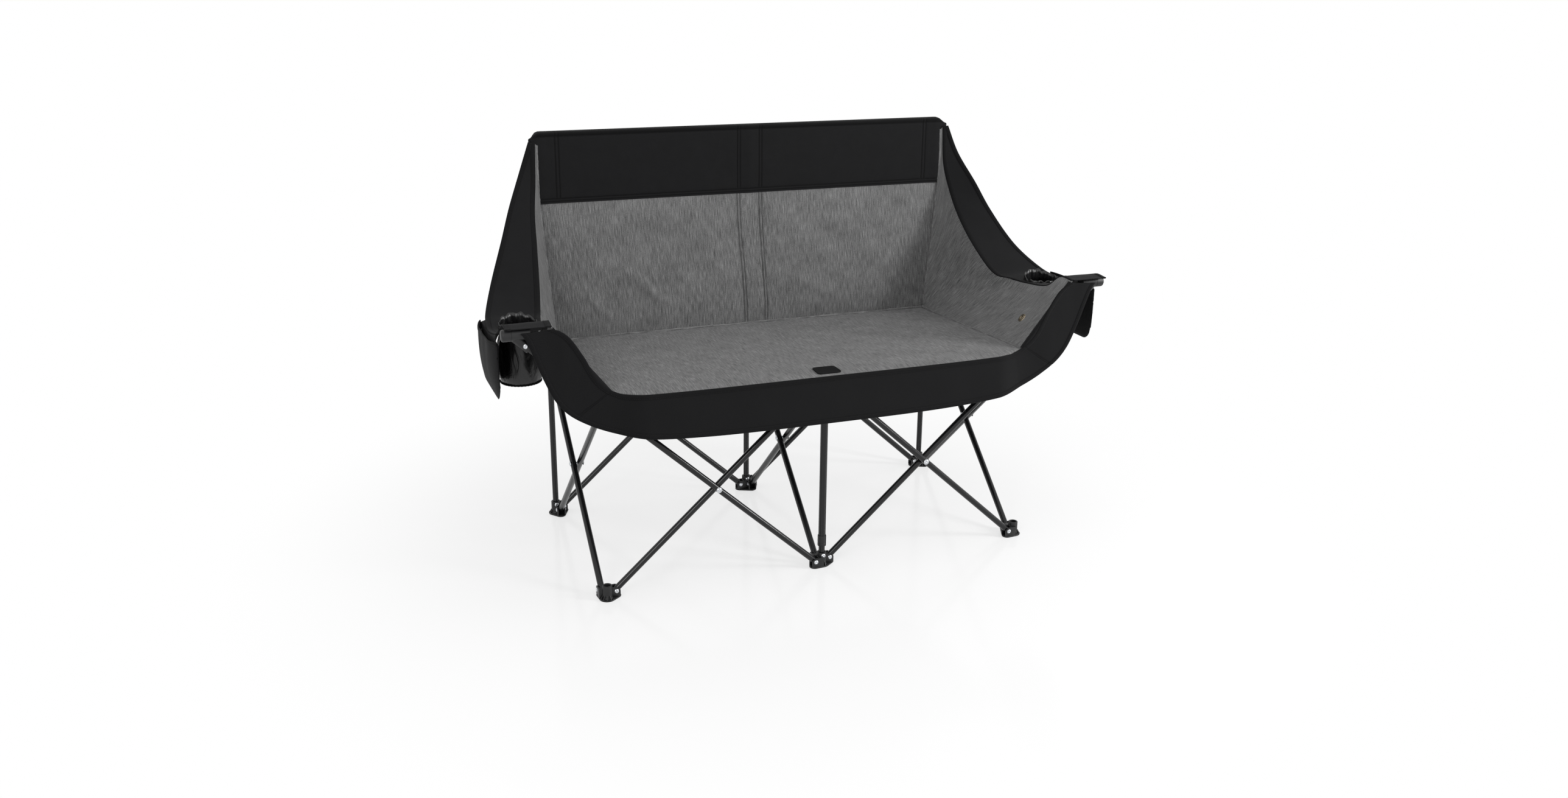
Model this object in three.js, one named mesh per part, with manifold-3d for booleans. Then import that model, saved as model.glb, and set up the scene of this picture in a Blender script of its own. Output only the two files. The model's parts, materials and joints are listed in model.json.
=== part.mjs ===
// Folding camping loveseat: a two-bay scissor frame of steel tube that carries one padded sling.
// Millimetres, +Z up, the front towards -Y, standing on the ground with its box centred in plan.

import * as THREE from 'three';
import { mergeVertices } from 'three/addons/utils/BufferGeometryUtils.js';
import Module from 'manifold-3d';

const wasm = await Module();
wasm.setup();

// Frame: driving dimensions
const bay = 500; // between neighbouring feet, across the seat and front to back
const tubeDiameter = 14;
const tubeWall = 1;
const footPinHeight = 16;
const hubPinHeight = 430;
const pinInset = 20; // from a station's upright axis to the pin of each tube
const foldAngle = 45; // degrees that every tube turns from open to folded
const armTubeLength = 884; // from the foot pin of an arm tube to the middle of its end fitting

// Frame: clearances, rivets and forks
const gap = 0.3; // between pieces that touch
const scissorGap = 1; // between the two tubes of a scissor
const pinDiameter = 5;
const rivetHeadDiameter = 10;
const rivetHeadHeight = 1.8;
const rivetRoot = 0.5; // how far a rivet's head reaches into what it stands on
const rivetCrownShare = 0.5; // a rivet's flat top against its rim
const cheekThickness = 3;
const lugRadius = 9;
const overrun = 2; // what a cutter passes through the face that it cuts
const swingReach = 60; // how far from its pin the room for a turning tube is cut

// Feet
const footFlangeRadius = 18;
const footForkMargin = 12;
const footFlangeThickness = 4;
const footFlangeBevel = 1.5;
const towerRadius = 11;
const towerSkirt = 2;
const edgeChamfer = 1;
const footTowerHeight = 33;
const socketFloor = 8;
const postRivetHeight = 26;

// Hubs and sliders
const hubRadius = 12.5;
const hubHalfHeight = 9;
const hubChamfer = 1;
const slideClearance = 0.4;

// Posts: two telescoping tubes at the front, and domed tubes at the back
const upperPostDiameter = 16.5;
const upperPostWall = 0.9;
const collarDiameter = 19.5;
const collarBottom = 48;
const collarHeight = 26;
const collarLip = 12; // of the collar's height, below the upper tube
const domeShare = 0.6; // height of a post's rounded top against its radius
const postOverlap = 34; // of the lower tube's top, below the hub's pins

// Arm end fittings
const barrelRadius = 12.5;
const barrelInner = 36; // from the tube's axis back towards the seat
const barrelOuter = 22; // from the tube's axis out to the domed end
const barrelDome = 5;
const fittingSleeveRadius = 10;
const fittingSleeveLength = 46;
const fittingRivetInset = 34;
const armTubeEndInset = 8;
const fittingFlat = 0.5; // how far a rivet's head sinks into the round sleeve

// Cloth sling
const clothThickness = 2;
const clothGap = 0.5; // between cloth panels where they are sewn, and between cloth and frame
const seatThickness = 9;
const backThickness = 8;
const padEdge = 4; // thickness of a pad at its sewn edge
const padShoulder = 60; // how far in from its edge a pad is full
const seatSideInset = 20; // seat edge inside the outer posts
const seatFrontRise = 17;
const seatSag = 5;
const seatCornerRise = 8;
const seatCornerPower = 6; // how sharply a corner rises
const seatCorner = 70; // width of each front corner's sweep
const seatFrontOverhang = 36; // seat edge in front of the front feet
const backHeight = 935; // top hem of the sling
const bandDepth = 163; // black band along the top of the back
const backTopMargin = 12; // back panel beyond the outer posts at the band
const bandMargin = 14; // band beyond the outer posts
const hemThickness = 5;
const sleeveWall = 2;
const sleeveTopGap = 2; // below the band
const sleeveBottomRise = 22; // above the sliders
const sideBulge = 6;
const apronDrop = 100; // front band below the seat's edge
const apronLean = 14;

// Cup pockets, side pockets, glass slots
const cupInset = 45; // inside the middle of the arm's end fitting
const cupBack = 160; // behind the front feet
const cupMouthRadius = 39.5;
const cupBodyRadius = 46;
const cupFloorRadius = 41;
const cupRimRise = 9; // mouth above the arm top
const cupNeck = 22;
const cupDepth = 128;
const pocketLength = 190;
const pocketDepth = 124;
const pocketFront = 36; // behind the front feet
const pocketMouth = 14;
const pocketFloorWidth = 6;
const pocketLip = 3; // above the arm's outer edge
const slotWidth = 12;
const slotLength = 26;
const slotBack = 52; // behind the front feet

// Grommets and patch
const grommetRadius = 11;
const grommetHole = 4;
const grommetLip = 1.2;
const grommetBack = 75; // behind the front feet
const grommetRise = 54; // above the seat's front edge
const patchWidth = 62;
const patchDepth = 44;
const patchThickness = 1.5;
const patchCorner = 9;
const patchInset = 9; // behind the seat's front edge

// Facets
const tubeSides = 8;
const holeSides = 6;
const postSides = 10;
const rivetSides = 8;
const flangeSides = 8;
const endSteps = 3;
const domeSteps = 2;
const cupSides = 16;
const seatSteps = 20;
const seatDepthSteps = 10;
const backSteps = 12;
const backHeightSteps = 6;
const slingSteps = 24;
const panelSteps = 4;
const wingSteps = 3;
const apronSteps = 36;
const apronDepthSteps = 2;
const patchSteps = 3;
const searchSteps = 160;
const normalStepShare = 0.001;

// Derived frame sizes
const tubeRadius = tubeDiameter / 2;
const pinRadius = pinDiameter / 2;
const holeRadius = pinRadius + gap;
const layer = (tubeDiameter + scissorGap) / 2; // from a foot-to-hub line to the tube on its left
const slotHalf = tubeRadius + gap;
const forkHalf = slotHalf + cheekThickness;
const pinRise = hubPinHeight - footPinHeight;
const pinRun = bay - 2 * pinInset;
const openAngle = Math.atan2(pinRise, pinRun);
const foldedAngle = openAngle + THREE.MathUtils.degToRad(foldAngle);
const pinSpan = Math.hypot(pinRise, pinRun);
const hubTop = hubPinHeight + hubHalfHeight;
const frontY = -bay / 2;
const rearY = bay / 2;
const tipX = pinInset + armTubeLength * Math.cos(openAngle);
const tipZ = footPinHeight + armTubeLength * Math.sin(openAngle);

const stations = {
  front_left: [-bay, frontY],
  front_centre: [0, frontY],
  front_right: [bay, frontY],
  back_left: [-bay, rearY],
  back_centre: [0, rearY],
  back_right: [bay, rearY],
};

// Derived cloth sizes
const halfCloth = clothThickness / 2;
const seamMargin = halfCloth + clothGap / 2;
const postTop = backHeight - hemThickness - clothGap;
const seatHalf = bay - seatSideInset;
const seatRearZ = hubTop + clothGap + seatThickness / 2;
const seatFrontZ = seatRearZ + seatFrontRise;
const backRearY = rearY - tubeRadius - gap - sleeveWall - clothGap;
const backFrontY = backRearY - backThickness;
const sewnRearY = backFrontY - clothGap;
const sideRearY = sewnRearY - halfCloth;
const bandBottom = backHeight - bandDepth;
const flankY = frontY - layer - Math.max(barrelRadius, forkHalf + rivetHeadHeight) - clothGap - halfCloth;
const sewnFrontY = flankY + halfCloth + clothGap;
const noseY = frontY - seatFrontOverhang;
const trayZ = tipZ + barrelRadius + gap + halfCloth;
const armOverhang = tipX - bay;
const backRise = backHeight - trayZ;
const armRise = trayZ - seatFrontZ;

// Colours and finishes
const finishes = {
  powder_coat: { color: 0x1b1b1c, roughness: 0.38, metalness: 0.55 },
  plastic: { color: 0x19191a, roughness: 0.5, metalness: 0 },
  steel: { color: 0xc9ccd0, roughness: 0.25, metalness: 1 },
  brass: { color: 0x6f6453, roughness: 0.4, metalness: 1 },
  grey_cloth: { color: 0x6a6a6a, roughness: 0.92, metalness: 0 },
  black_cloth: { color: 0x1d1d1e, roughness: 0.85, metalness: 0 },
  nylon: { color: 0x151516, roughness: 0.55, metalness: 0 },
  patch_rubber: { color: 0x202021, roughness: 0.6, metalness: 0 },
};

// Solid helpers: every shape is a three.js geometry, and the library joins or cuts them

const mergeTolerance = 1e-4;

function toSolid(geometry) {
  const bare = geometry.clone();
  bare.deleteAttribute('normal');
  bare.deleteAttribute('uv');
  const merged = mergeVertices(bare, mergeTolerance);
  return new wasm.Manifold(new wasm.Mesh({
    numProp: 3,
    vertProperties: new Float32Array(merged.attributes.position.array),
    triVerts: new Uint32Array(merged.index.array),
  }));
}

function toGeometry(solid) {
  const mesh = solid.getMesh();
  const geometry = new THREE.BufferGeometry();
  geometry.setAttribute('position', new THREE.BufferAttribute(mesh.vertProperties, 3));
  geometry.setIndex(new THREE.BufferAttribute(mesh.triVerts, 1));
  return geometry;
}

function joined(...parts) {
  return toGeometry(parts.map(toSolid).reduce((whole, next) => whole.add(next)));
}

function cut(body, ...cutters) {
  return toGeometry(cutters.map(toSolid).reduce((left, cutter) => left.subtract(cutter), toSolid(body)));
}

function common(a, b) {
  return toGeometry(toSolid(a).intersect(toSolid(b)));
}

function node(name, geometry, finish) {
  const flat = geometry.index ? geometry.toNonIndexed() : geometry;
  flat.computeVertexNormals();
  const mesh = new THREE.Mesh(flat, new THREE.MeshStandardMaterial({ name: finish, ...finishes[finish] }));
  mesh.name = name;
  return mesh;
}

// A cylinder on the line from a to b
function rod(radius, a, b, sides) {
  const from = new THREE.Vector3(...a);
  const along = new THREE.Vector3(...b).sub(from);
  const up = new THREE.Vector3(0, 1, 0);
  const turn = new THREE.Quaternion().setFromUnitVectors(up, along.clone().normalize());
  const geometry = new THREE.CylinderGeometry(radius, radius, along.length(), sides);
  geometry.rotateY(Math.PI / sides).applyQuaternion(turn);
  return geometry.translate(...from.addScaledVector(along, 1 / 2).toArray());
}

// A bore whose flats, not its corners, lie at the radius
function bore(radius, a, b, sides) {
  return rod(radius / Math.cos(Math.PI / sides), a, b, sides);
}

// An outline of radius and height turned about the Z axis
function turned(points, sides) {
  const geometry = new THREE.LatheGeometry(points.map(([r, z]) => new THREE.Vector2(r, z)), sides);
  return geometry.rotateX(Math.PI / 2);
}

// An outline in the X-Z plane drawn out along Y, centred on y
function slab(points, y, half) {
  const shape = new THREE.Shape(points.map(([x, z]) => new THREE.Vector2(x, z)));
  const geometry = new THREE.ExtrudeGeometry(shape, { depth: 2 * half, bevelEnabled: false });
  return geometry.rotateX(Math.PI / 2).translate(0, y + half, 0);
}

function box(x, y, z) {
  const size = [x, y, z].map(([low, high]) => high - low);
  const middle = [x, y, z].map(([low, high]) => (low + high) / 2);
  return new THREE.BoxGeometry(...size).translate(...middle);
}

function arc([x, y], radius, from, to, steps) {
  return Array.from({ length: steps + 1 }, (_, i) => {
    const angle = from + ((to - from) * i) / steps;
    return [x + radius * Math.cos(angle), y + radius * Math.sin(angle)];
  });
}

// The domed head of a rivet, standing on y and rising to the side that side names
function rivetHead([x, z], y, side) {
  const rim = rivetHeadDiameter / 2;
  const crown = rim * rivetCrownShare;
  const head = turned(
    [[0, -rivetRoot], [rim, -rivetRoot], [crown, rivetHeadHeight], [0, rivetHeadHeight]],
    rivetSides,
  );
  return head.rotateX((-side * Math.PI) / 2).translate(x, y, z);
}

// A rivet across a fork, with both heads outside its cheeks
function forkRivet([x, z], y, half) {
  return joined(
    rod(pinRadius, [x, y - half, z], [x, y + half, z], holeSides),
    rivetHead([x, z], y - half, -1),
    rivetHead([x, z], y + half, 1),
  );
}

// Scissor tubes: local X runs from the foot pin to the hub pin, and the pins lie along local Y

function scissorTube(length, pins, roundEnd) {
  const end = length + (roundEnd ? tubeRadius : 0);
  const outer = rod(tubeRadius, [-tubeRadius, 0, 0], [end, 0, 0], tubeSides);
  const through = [[-tubeDiameter, 0, 0], [length + tubeDiameter, 0, 0]];
  const inside = rod(tubeRadius - tubeWall, ...through, tubeSides);
  const near = arc([0, 0], tubeRadius, Math.PI / 2, (3 * Math.PI) / 2, endSteps);
  const far = roundEnd
    ? arc([length, 0], tubeRadius, -Math.PI / 2, Math.PI / 2, endSteps)
    : [[length, -tubeDiameter], [length, tubeDiameter]];
  const mouth = roundEnd ? [] : [[0, -tubeDiameter]];
  const lip = roundEnd ? [] : [[0, tubeDiameter]];
  const outline = slab([...lip, ...near, ...mouth, ...far], 0, tubeDiameter);
  const holes = pins.map((x) => bore(holeRadius, [x, -tubeDiameter, 0], [x, tubeDiameter, 0], holeSides));
  return cut(common(outer, outline), inside, ...holes);
}

// The slot between a fork's cheeks: open towards the tube's swing and past the pin
function slotRoom([x, z], y, below) {
  const rise = below ? [z - swingReach, z + slotHalf] : [z - slotHalf, z + swingReach];
  return box([x - slotHalf, x + swingReach], [y - slotHalf, y + slotHalf], rise);
}

// The room above a hub for a tube that runs on past its pin, between open and folded
function passingRoom([x, z], y) {
  const at = (angle, ahead, aside) => [
    x - ahead * Math.cos(angle) - aside * Math.sin(angle),
    z + ahead * Math.sin(angle) - aside * Math.cos(angle),
  ];
  const outline = [
    at(openAngle, 0, slotHalf),
    at(openAngle, swingReach, slotHalf),
    at(foldedAngle, swingReach, -slotHalf),
    [x + slotHalf, z],
  ];
  return slab(outline, y, slotHalf);
}

// A fork whose cheeks hold one tube. Local X points away from the station, and side says which way
// the fork is set off from that line.
function fork({ pinHeight, base, top, side, below }) {
  const y = side * layer;
  const pin = [pinInset, pinHeight];
  const cheeks = slab(
    [
      [0, base],
      ...(below ? [] : [[pinInset + lugRadius, base]]),
      ...arc(pin, lugRadius, below ? -Math.PI / 2 : 0, Math.PI / 2, endSteps),
      [0, top],
    ],
    y,
    forkHalf,
  );
  const room = slotRoom(pin, y, below);
  return { cheeks, room, rivet: forkRivet(pin, y, forkHalf), pin, y };
}

function facing(forkParts, angle) {
  const turn = (geometry) => geometry.clone().rotateZ(angle);
  return { cheeks: turn(forkParts.cheeks), room: turn(forkParts.room), rivet: turn(forkParts.rivet) };
}

function heading(from, to) {
  const [ax, ay] = stations[from];
  const [bx, by] = stations[to];
  return Math.atan2(by - ay, bx - ax);
}

// The convex outline round some circles in plan
function hullOutline(circles) {
  const points = circles.flatMap(([x, y, r]) => arc([x, y], r, 0, 2 * Math.PI, flangeSides).slice(1));
  points.sort((a, b) => a[0] - b[0] || a[1] - b[1]);
  const turnsRight = (a, b, c) => (b[0] - a[0]) * (c[1] - a[1]) - (b[1] - a[1]) * (c[0] - a[0]) <= 0;
  const chain = (list) => list.reduce((hull, point) => {
    while (hull.length > 1 && turnsRight(hull[hull.length - 2], hull[hull.length - 1], point)) {
      hull.pop();
    }
    hull.push(point);
    return hull;
  }, []);
  const lower = chain(points);
  const upper = chain([...points].reverse());
  return [...lower.slice(0, -1), ...upper.slice(0, -1)].map(([x, y]) => new THREE.Vector2(x, y));
}

// A moulded foot: a rounded flange, a post socket, and a fork for each tube that starts here
function footSolid(angles, holdsPost) {
  const circles = angles.map((angle) => [
    pinInset * Math.cos(angle) - layer * Math.sin(angle),
    pinInset * Math.sin(angle) + layer * Math.cos(angle),
    footForkMargin,
  ]);
  const flange = new THREE.ExtrudeGeometry(
    new THREE.Shape(hullOutline([[0, 0, footFlangeRadius], ...circles])),
    {
      depth: footFlangeThickness - 2 * footFlangeBevel,
      bevelThickness: footFlangeBevel,
      bevelSize: footFlangeBevel,
      bevelOffset: -footFlangeBevel,
      bevelSegments: 1,
    },
  ).translate(0, 0, footFlangeBevel);
  const tower = turned(
    [
      [0, footFlangeBevel],
      [towerRadius + towerSkirt, footFlangeBevel],
      [towerRadius + towerSkirt, footFlangeThickness],
      [towerRadius, footFlangeThickness + towerSkirt],
      [towerRadius, footTowerHeight - edgeChamfer],
      [towerRadius - edgeChamfer, footTowerHeight],
      [0, footTowerHeight],
    ],
    postSides,
  );
  const top = footPinHeight + lugRadius;
  const one = fork({ pinHeight: footPinHeight, base: footFlangeBevel, top, side: 1, below: false });
  const forks = angles.map((angle) => facing(one, angle));
  const socket = bore(tubeRadius + gap, [0, 0, socketFloor], [0, 0, footTowerHeight + overrun], postSides);
  const body = joined(flange, tower, ...forks.map(({ cheeks }) => cheeks));
  const open = cut(body, socket, ...forks.map(({ room }) => room));
  const postRivet = holdsPost ? [forkRivet([0, postRivetHeight], 0, towerRadius)] : [];
  return joined(open, ...forks.map(({ rivet }) => rivet), ...postRivet);
}

// A moulded hub: a bored core and a fork for each tube that ends here. A tube that runs on past its pin
// swings on both sides of it, so that fork is cut through.
function hubSolid(ends, boreRadius) {
  const low = hubPinHeight - hubHalfHeight;
  const high = hubPinHeight + hubHalfHeight;
  const core = turned(
    [
      [0, low],
      [hubRadius - hubChamfer, low],
      [hubRadius, low + hubChamfer],
      [hubRadius, high - hubChamfer],
      [hubRadius - hubChamfer, high],
      [0, high],
    ],
    postSides,
  );
  const forks = ends.map(({ angle, runsOn }) => {
    const one = fork({ pinHeight: hubPinHeight, base: low, top: high, side: -1, below: true });
    const room = runsOn ? joined(one.room, passingRoom(one.pin, one.y)) : one.room;
    return facing({ cheeks: one.cheeks, room, rivet: one.rivet }, angle);
  });
  const centre = bore(boreRadius, [0, 0, low - overrun], [0, 0, high + overrun], postSides);
  const body = joined(core, ...forks.map(({ cheeks }) => cheeks));
  const open = cut(body, centre, ...forks.map(({ room }) => room));
  return joined(open, ...forks.map(({ rivet }) => rivet));
}

// A post: a tube with a domed top, or an open one
function postSolid(radius, wall, bottom, top, capped) {
  const inner = radius - wall;
  if (!capped) {
    const ring = [[inner, bottom], [radius, bottom], [radius, top], [inner, top], [inner, bottom]];
    return turned(ring, postSides);
  }
  const shoulder = top - radius * domeShare;
  const dome = arc([0, 0], 1, 0, Math.PI / 2, domeSteps).map(([r, z]) => [
    radius * r,
    shoulder + radius * domeShare * z,
  ]);
  const ceiling = [[0, shoulder - wall], [inner, shoulder - wall]];
  return turned([[inner, bottom], [radius, bottom], ...dome, ...ceiling, [inner, bottom]], postSides);
}

function withRivetHole(geometry, z) {
  return cut(geometry, bore(holeRadius, [0, -tubeDiameter, z], [0, tubeDiameter, z], holeSides));
}

// The rivet at the crossing of a scissor, in the local frame of the tube that carries it
function pivotRivet() {
  const near = tubeRadius + gap + rivetRoot;
  const far = -tubeDiameter - scissorGap - near;
  return joined(
    rod(pinRadius, [0, near, 0], [0, far, 0], holeSides),
    rivetHead([0, 0], near, 1),
    rivetHead([0, 0], far, -1),
  );
}

// The moulded end of an arm: a sleeve on the tube and a domed barrel that points outwards, level when open
function armEndSolid() {
  const tube = new THREE.Vector3(Math.cos(openAngle), 0, Math.sin(openAngle));
  const start = tube.clone().multiplyScalar(-fittingSleeveLength);
  const sleeve = rod(fittingSleeveRadius, start.toArray(), [0, 0, 0], postSides);
  const dome = arc([0, 0], 1, 0, Math.PI / 2, domeSteps).map(([r, z]) => [
    barrelRadius - barrelDome + barrelDome * r,
    barrelOuter - barrelDome + barrelDome * z,
  ]);
  const barrel = turned(
    [
      [0, -barrelInner],
      [barrelRadius - edgeChamfer, -barrelInner],
      [barrelRadius, -barrelInner + edgeChamfer],
      ...dome,
      [0, barrelOuter],
    ],
    postSides,
  ).rotateY(Math.PI / 2);
  const boreStart = tube.clone().multiplyScalar(-fittingSleeveLength - overrun).toArray();
  const boreEnd = tube.clone().multiplyScalar(-armTubeEndInset + gap).toArray();
  const inside = bore(tubeRadius + gap, boreStart, boreEnd, postSides);
  const rivetAt = tube.clone().multiplyScalar(-fittingRivetInset);
  const rivet = forkRivet([rivetAt.x, rivetAt.z], 0, fittingSleeveRadius - fittingFlat);
  return joined(cut(joined(sleeve, barrel), inside), rivet);
}

// Cloth helpers

const { lerp, clamp, smoothstep } = THREE.MathUtils;

// A surface over the unit square, with the outward direction of its first side
function normalOf(surface, u, v) {
  const step = normalStepShare;
  const across = surface(Math.min(u + step, 1), v).sub(surface(Math.max(u - step, 0), v));
  const along = surface(u, Math.min(v + step, 1)).sub(surface(u, Math.max(v - step, 0)));
  return across.cross(along).normalize();
}

// A closed solid: a surface given a thickness along its own normals
function sheet(surface, thickness, across, along) {
  const positions = [];
  [1, -1].forEach((side) => {
    for (let j = 0; j <= along; j += 1) {
      for (let i = 0; i <= across; i += 1) {
        const u = i / across;
        const v = j / along;
        const offset = (side * thickness(u, v)) / 2;
        positions.push(...surface(u, v).addScaledVector(normalOf(surface, u, v), offset).toArray());
      }
    }
  });
  const row = across + 1;
  const layerSize = row * (along + 1);
  const index = [];
  const quad = (a, b, c, d) => index.push(a, b, c, a, c, d);
  for (let j = 0; j < along; j += 1) {
    for (let i = 0; i < across; i += 1) {
      const a = j * row + i;
      quad(a, a + 1, a + row + 1, a + row);
      quad(a + layerSize, a + row + layerSize, a + row + 1 + layerSize, a + 1 + layerSize);
    }
  }
  const rim = [
    ...Array.from({ length: across }, (_, i) => i),
    ...Array.from({ length: along }, (_, j) => j * row + across),
    ...Array.from({ length: across }, (_, i) => layerSize - 1 - i),
    ...Array.from({ length: along }, (_, j) => (along - j) * row),
  ];
  rim.forEach((a, k) => {
    const b = rim[(k + 1) % rim.length];
    quad(a, a + layerSize, b + layerSize, b);
  });
  const geometry = new THREE.BufferGeometry();
  geometry.setAttribute('position', new THREE.Float32BufferAttribute(positions, 3));
  geometry.setIndex(index);
  return geometry;
}

function evenCloth() {
  return clothThickness;
}

// A pad is full inside its shoulders and thins to its sewn edges
function padThickness(full, width, depth) {
  return (u, v) => {
    const inset = Math.min(Math.min(u, 1 - u) * width, Math.min(v, 1 - v) * depth);
    const share = Math.min(inset / padShoulder, 1);
    return padEdge + (full - padEdge) * Math.sin((share * Math.PI) / 2);
  };
}

function smoothCurve(points) {
  const curve = new THREE.CatmullRomCurve3(points);
  return (share) => curve.getPoint(share);
}

// The point of a surface nearest to a wanted place, where only some of x, y and z may be given
function nearestOn(surface, wanted) {
  let best = null;
  for (let i = 0; i <= searchSteps; i += 1) {
    for (let j = 0; j <= searchSteps; j += 1) {
      const [u, v] = [i / searchSteps, j / searchSteps];
      const point = surface(u, v);
      const miss = Object.entries(wanted).reduce((sum, [key, value]) => sum + (point[key] - value) ** 2, 0);
      if (!best || miss < best.miss) {
        best = { miss, point, normal: normalOf(surface, u, v) };
      }
    }
  }
  return best;
}

// Seat and back

function seatFrontY(x) {
  const sweep = smoothstep(Math.abs(x), seatHalf - seatCorner, seatHalf);
  return lerp(noseY, sewnFrontY, sweep);
}

// Grid lines lie closer together towards a pad's edges, where it curves most
function eased(share) {
  return (1 - Math.cos(Math.PI * share)) / 2;
}

function seatPoint(x, v) {
  const y = lerp(seatFrontY(x), sewnRearY, v);
  const side = Math.abs(x) / seatHalf;
  const corner = seatCornerRise * side ** seatCornerPower * (1 - v);
  const sag = seatSag * Math.sin(Math.PI * v) * (1 - side ** 2);
  return new THREE.Vector3(x, y, lerp(seatFrontZ, seatRearZ, v) + corner - sag);
}

const seatPad = padThickness(seatThickness, 2 * seatHalf, sewnRearY - noseY);

function seatPanel() {
  const surface = (u, v) => seatPoint(lerp(-seatHalf, seatHalf, eased(u)), eased(v));
  const pad = (u, v) => seatPad(eased(u), eased(v));
  return node('seat_panel', sheet(surface, pad, seatSteps, seatDepthSteps), 'grey_cloth');
}

const backBottom = seatRearZ + clothGap + padEdge / 2;
const backTop = bandBottom - clothGap;

function backEdgeX(z) {
  const share = clamp((z - backBottom) / (backTop - backBottom), 0, 1);
  return lerp(seatHalf + padEdge, bay + backTopMargin, share);
}

function backSurface(u, v) {
  const z = lerp(backBottom, backTop, eased(v));
  return new THREE.Vector3(lerp(-1, 1, eased(u)) * backEdgeX(z), (backFrontY + backRearY) / 2, z);
}

function backPanel() {
  const full = padThickness(backThickness, 2 * bay, backTop - backBottom);
  const pad = (u, v) => full(eased(u), eased(v));
  return node('back_panel', sheet(backSurface, pad, backSteps, backHeightSteps), 'grey_cloth');
}

// The band is a channel that folds over the tops of the posts
function backBand() {
  const rear = rearY + tubeRadius + gap + clothGap + clothThickness;
  const middle = (backFrontY + rear) / 2;
  const crown = (half, rise) => arc([0, 0], 1, 0, Math.PI, 2 * domeSteps).map(([y, z]) => [
    middle + half * y,
    backHeight - hemThickness + rise * z,
  ]);
  const half = (rear - backFrontY) / 2;
  const outline = [
    [rear, bandBottom],
    ...crown(half, hemThickness),
    [backFrontY, bandBottom],
    [backFrontY + clothThickness, bandBottom],
    ...crown(half - clothThickness, hemThickness - clothThickness).reverse(),
    [rear - clothThickness, bandBottom],
  ];
  return node('back_band', slab(outline, 0, bay + bandMargin).rotateZ(Math.PI / 2), 'black_cloth');
}

function backSleeve(name, x) {
  const inner = tubeRadius + gap;
  const outer = inner + sleeveWall;
  const low = hubTop + sleeveBottomRise;
  const high = bandBottom - sleeveTopGap;
  const ring = turned([[inner, low], [outer, low], [outer, high], [inner, high], [inner, low]], postSides);
  const mesh = node(`back_sleeve_${name}`, ring, 'grey_cloth');
  mesh.position.set(x, rearY, 0);
  return mesh;
}

// The sling's sides: matching places on three long curves, from the top of the back to the front.
// The inner curve follows the back's edge down and then the seat's edge forwards.
// Shares: across from the outer post to the end fitting, then of half the depth, then of the height above
// the arm's flat top, where a negative share runs down towards the seat.
const backDropShares = [0.06, 0.3, 0.48, 0.73, 1];
const seatRunShares = [0.223, 0.422, 0.641, 0.83, 0.912, 1];
const seamShares = [
  [0.099, 0.916, 0.927],
  [0.119, 0.9, 0.65],
  [0.169, 0.816, 0.44],
  [0.215, 0.624, 0.222],
  [0.294, 0.312, -0.014],
  [0.373, 0.048, -0.276],
  [0.435, -0.16, -0.276],
  [0.486, -0.4, -0.264],
  [0.52, -0.74, -0.18],
  [0.554, -0.904, 0],
  [0.571, -1.1, 0],
];
const armEdgeShares = [
  [0.169, 0.916, 0.933],
  [0.316, 0.872, 0.72],
  [0.508, 0.72, 0.49],
  [0.65, 0.584, 0.296],
  [0.876, 0.32, 0.035],
  [1.04, -0.016, -0.214],
  [1.079, -0.192, -0.264],
  [1.107, -0.4, -0.276],
  [1.09, -0.74, -0.17],
  [1.073, -0.904, 0],
  [1.073, -1.1, 0],
];

function slingPoint([across, back, up]) {
  const y = clamp(rearY * back, sewnFrontY, sideRearY);
  return new THREE.Vector3(bay + armOverhang * across, y, trayZ + up * (up > 0 ? backRise : armRise));
}

function innerPoints() {
  const down = backDropShares.map((share) => {
    const z = lerp(backHeight, backBottom + padEdge, share);
    return new THREE.Vector3(backEdgeX(z), sideRearY, z);
  });
  const forwards = seatRunShares.map((share) => {
    const edge = seatPoint(seatHalf, 1 - share);
    return edge.add(new THREE.Vector3(clothGap + halfCloth, 0, padEdge / 2));
  });
  return [...down, ...forwards];
}

// A curve made of straight runs, so the corner between back and seat stays where it is
function brokenLine(points) {
  return (share) => {
    const place = share * (points.length - 1);
    const start = Math.min(Math.floor(place), points.length - 2);
    return points[start].clone().lerp(points[start + 1], place - start);
  };
}

const innerEdge = brokenLine(innerPoints());
const seamCurve = smoothCurve(seamShares.map(slingPoint));
const armEdgeCurve = smoothCurve(armEdgeShares.map(slingPoint));

function withinSewn(point) {
  point.y = clamp(point.y, sewnFrontY, sideRearY);
  return point;
}

function panelSurface(u, v) {
  const inner = innerEdge(u);
  const seam = seamCurve(u);
  const width = inner.distanceTo(seam);
  const point = inner.lerp(seam, (v * (width - seamMargin)) / width);
  const out = sideBulge * Math.sin(Math.PI * v) * Math.sin(Math.PI * u);
  return withinSewn(point.add(new THREE.Vector3(out, 0, -out)));
}

function wingSurface(u, v) {
  const seam = seamCurve(u);
  const edge = armEdgeCurve(u);
  const width = seam.distanceTo(edge);
  return withinSewn(seam.lerp(edge, lerp(seamMargin / width, 1, v)));
}

function onSide(surface, side) {
  return (u, v) => surface(u, v).multiply(new THREE.Vector3(side, 1, 1));
}

function rodAlong({ point, normal }, radius, half, sides) {
  const reach = normal.clone().multiplyScalar(half);
  return rod(radius, point.clone().sub(reach).toArray(), point.clone().add(reach).toArray(), sides);
}

const grommetBarrel = grommetHole + grommetLip;
const grommetFace = halfCloth + clothGap;

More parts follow.
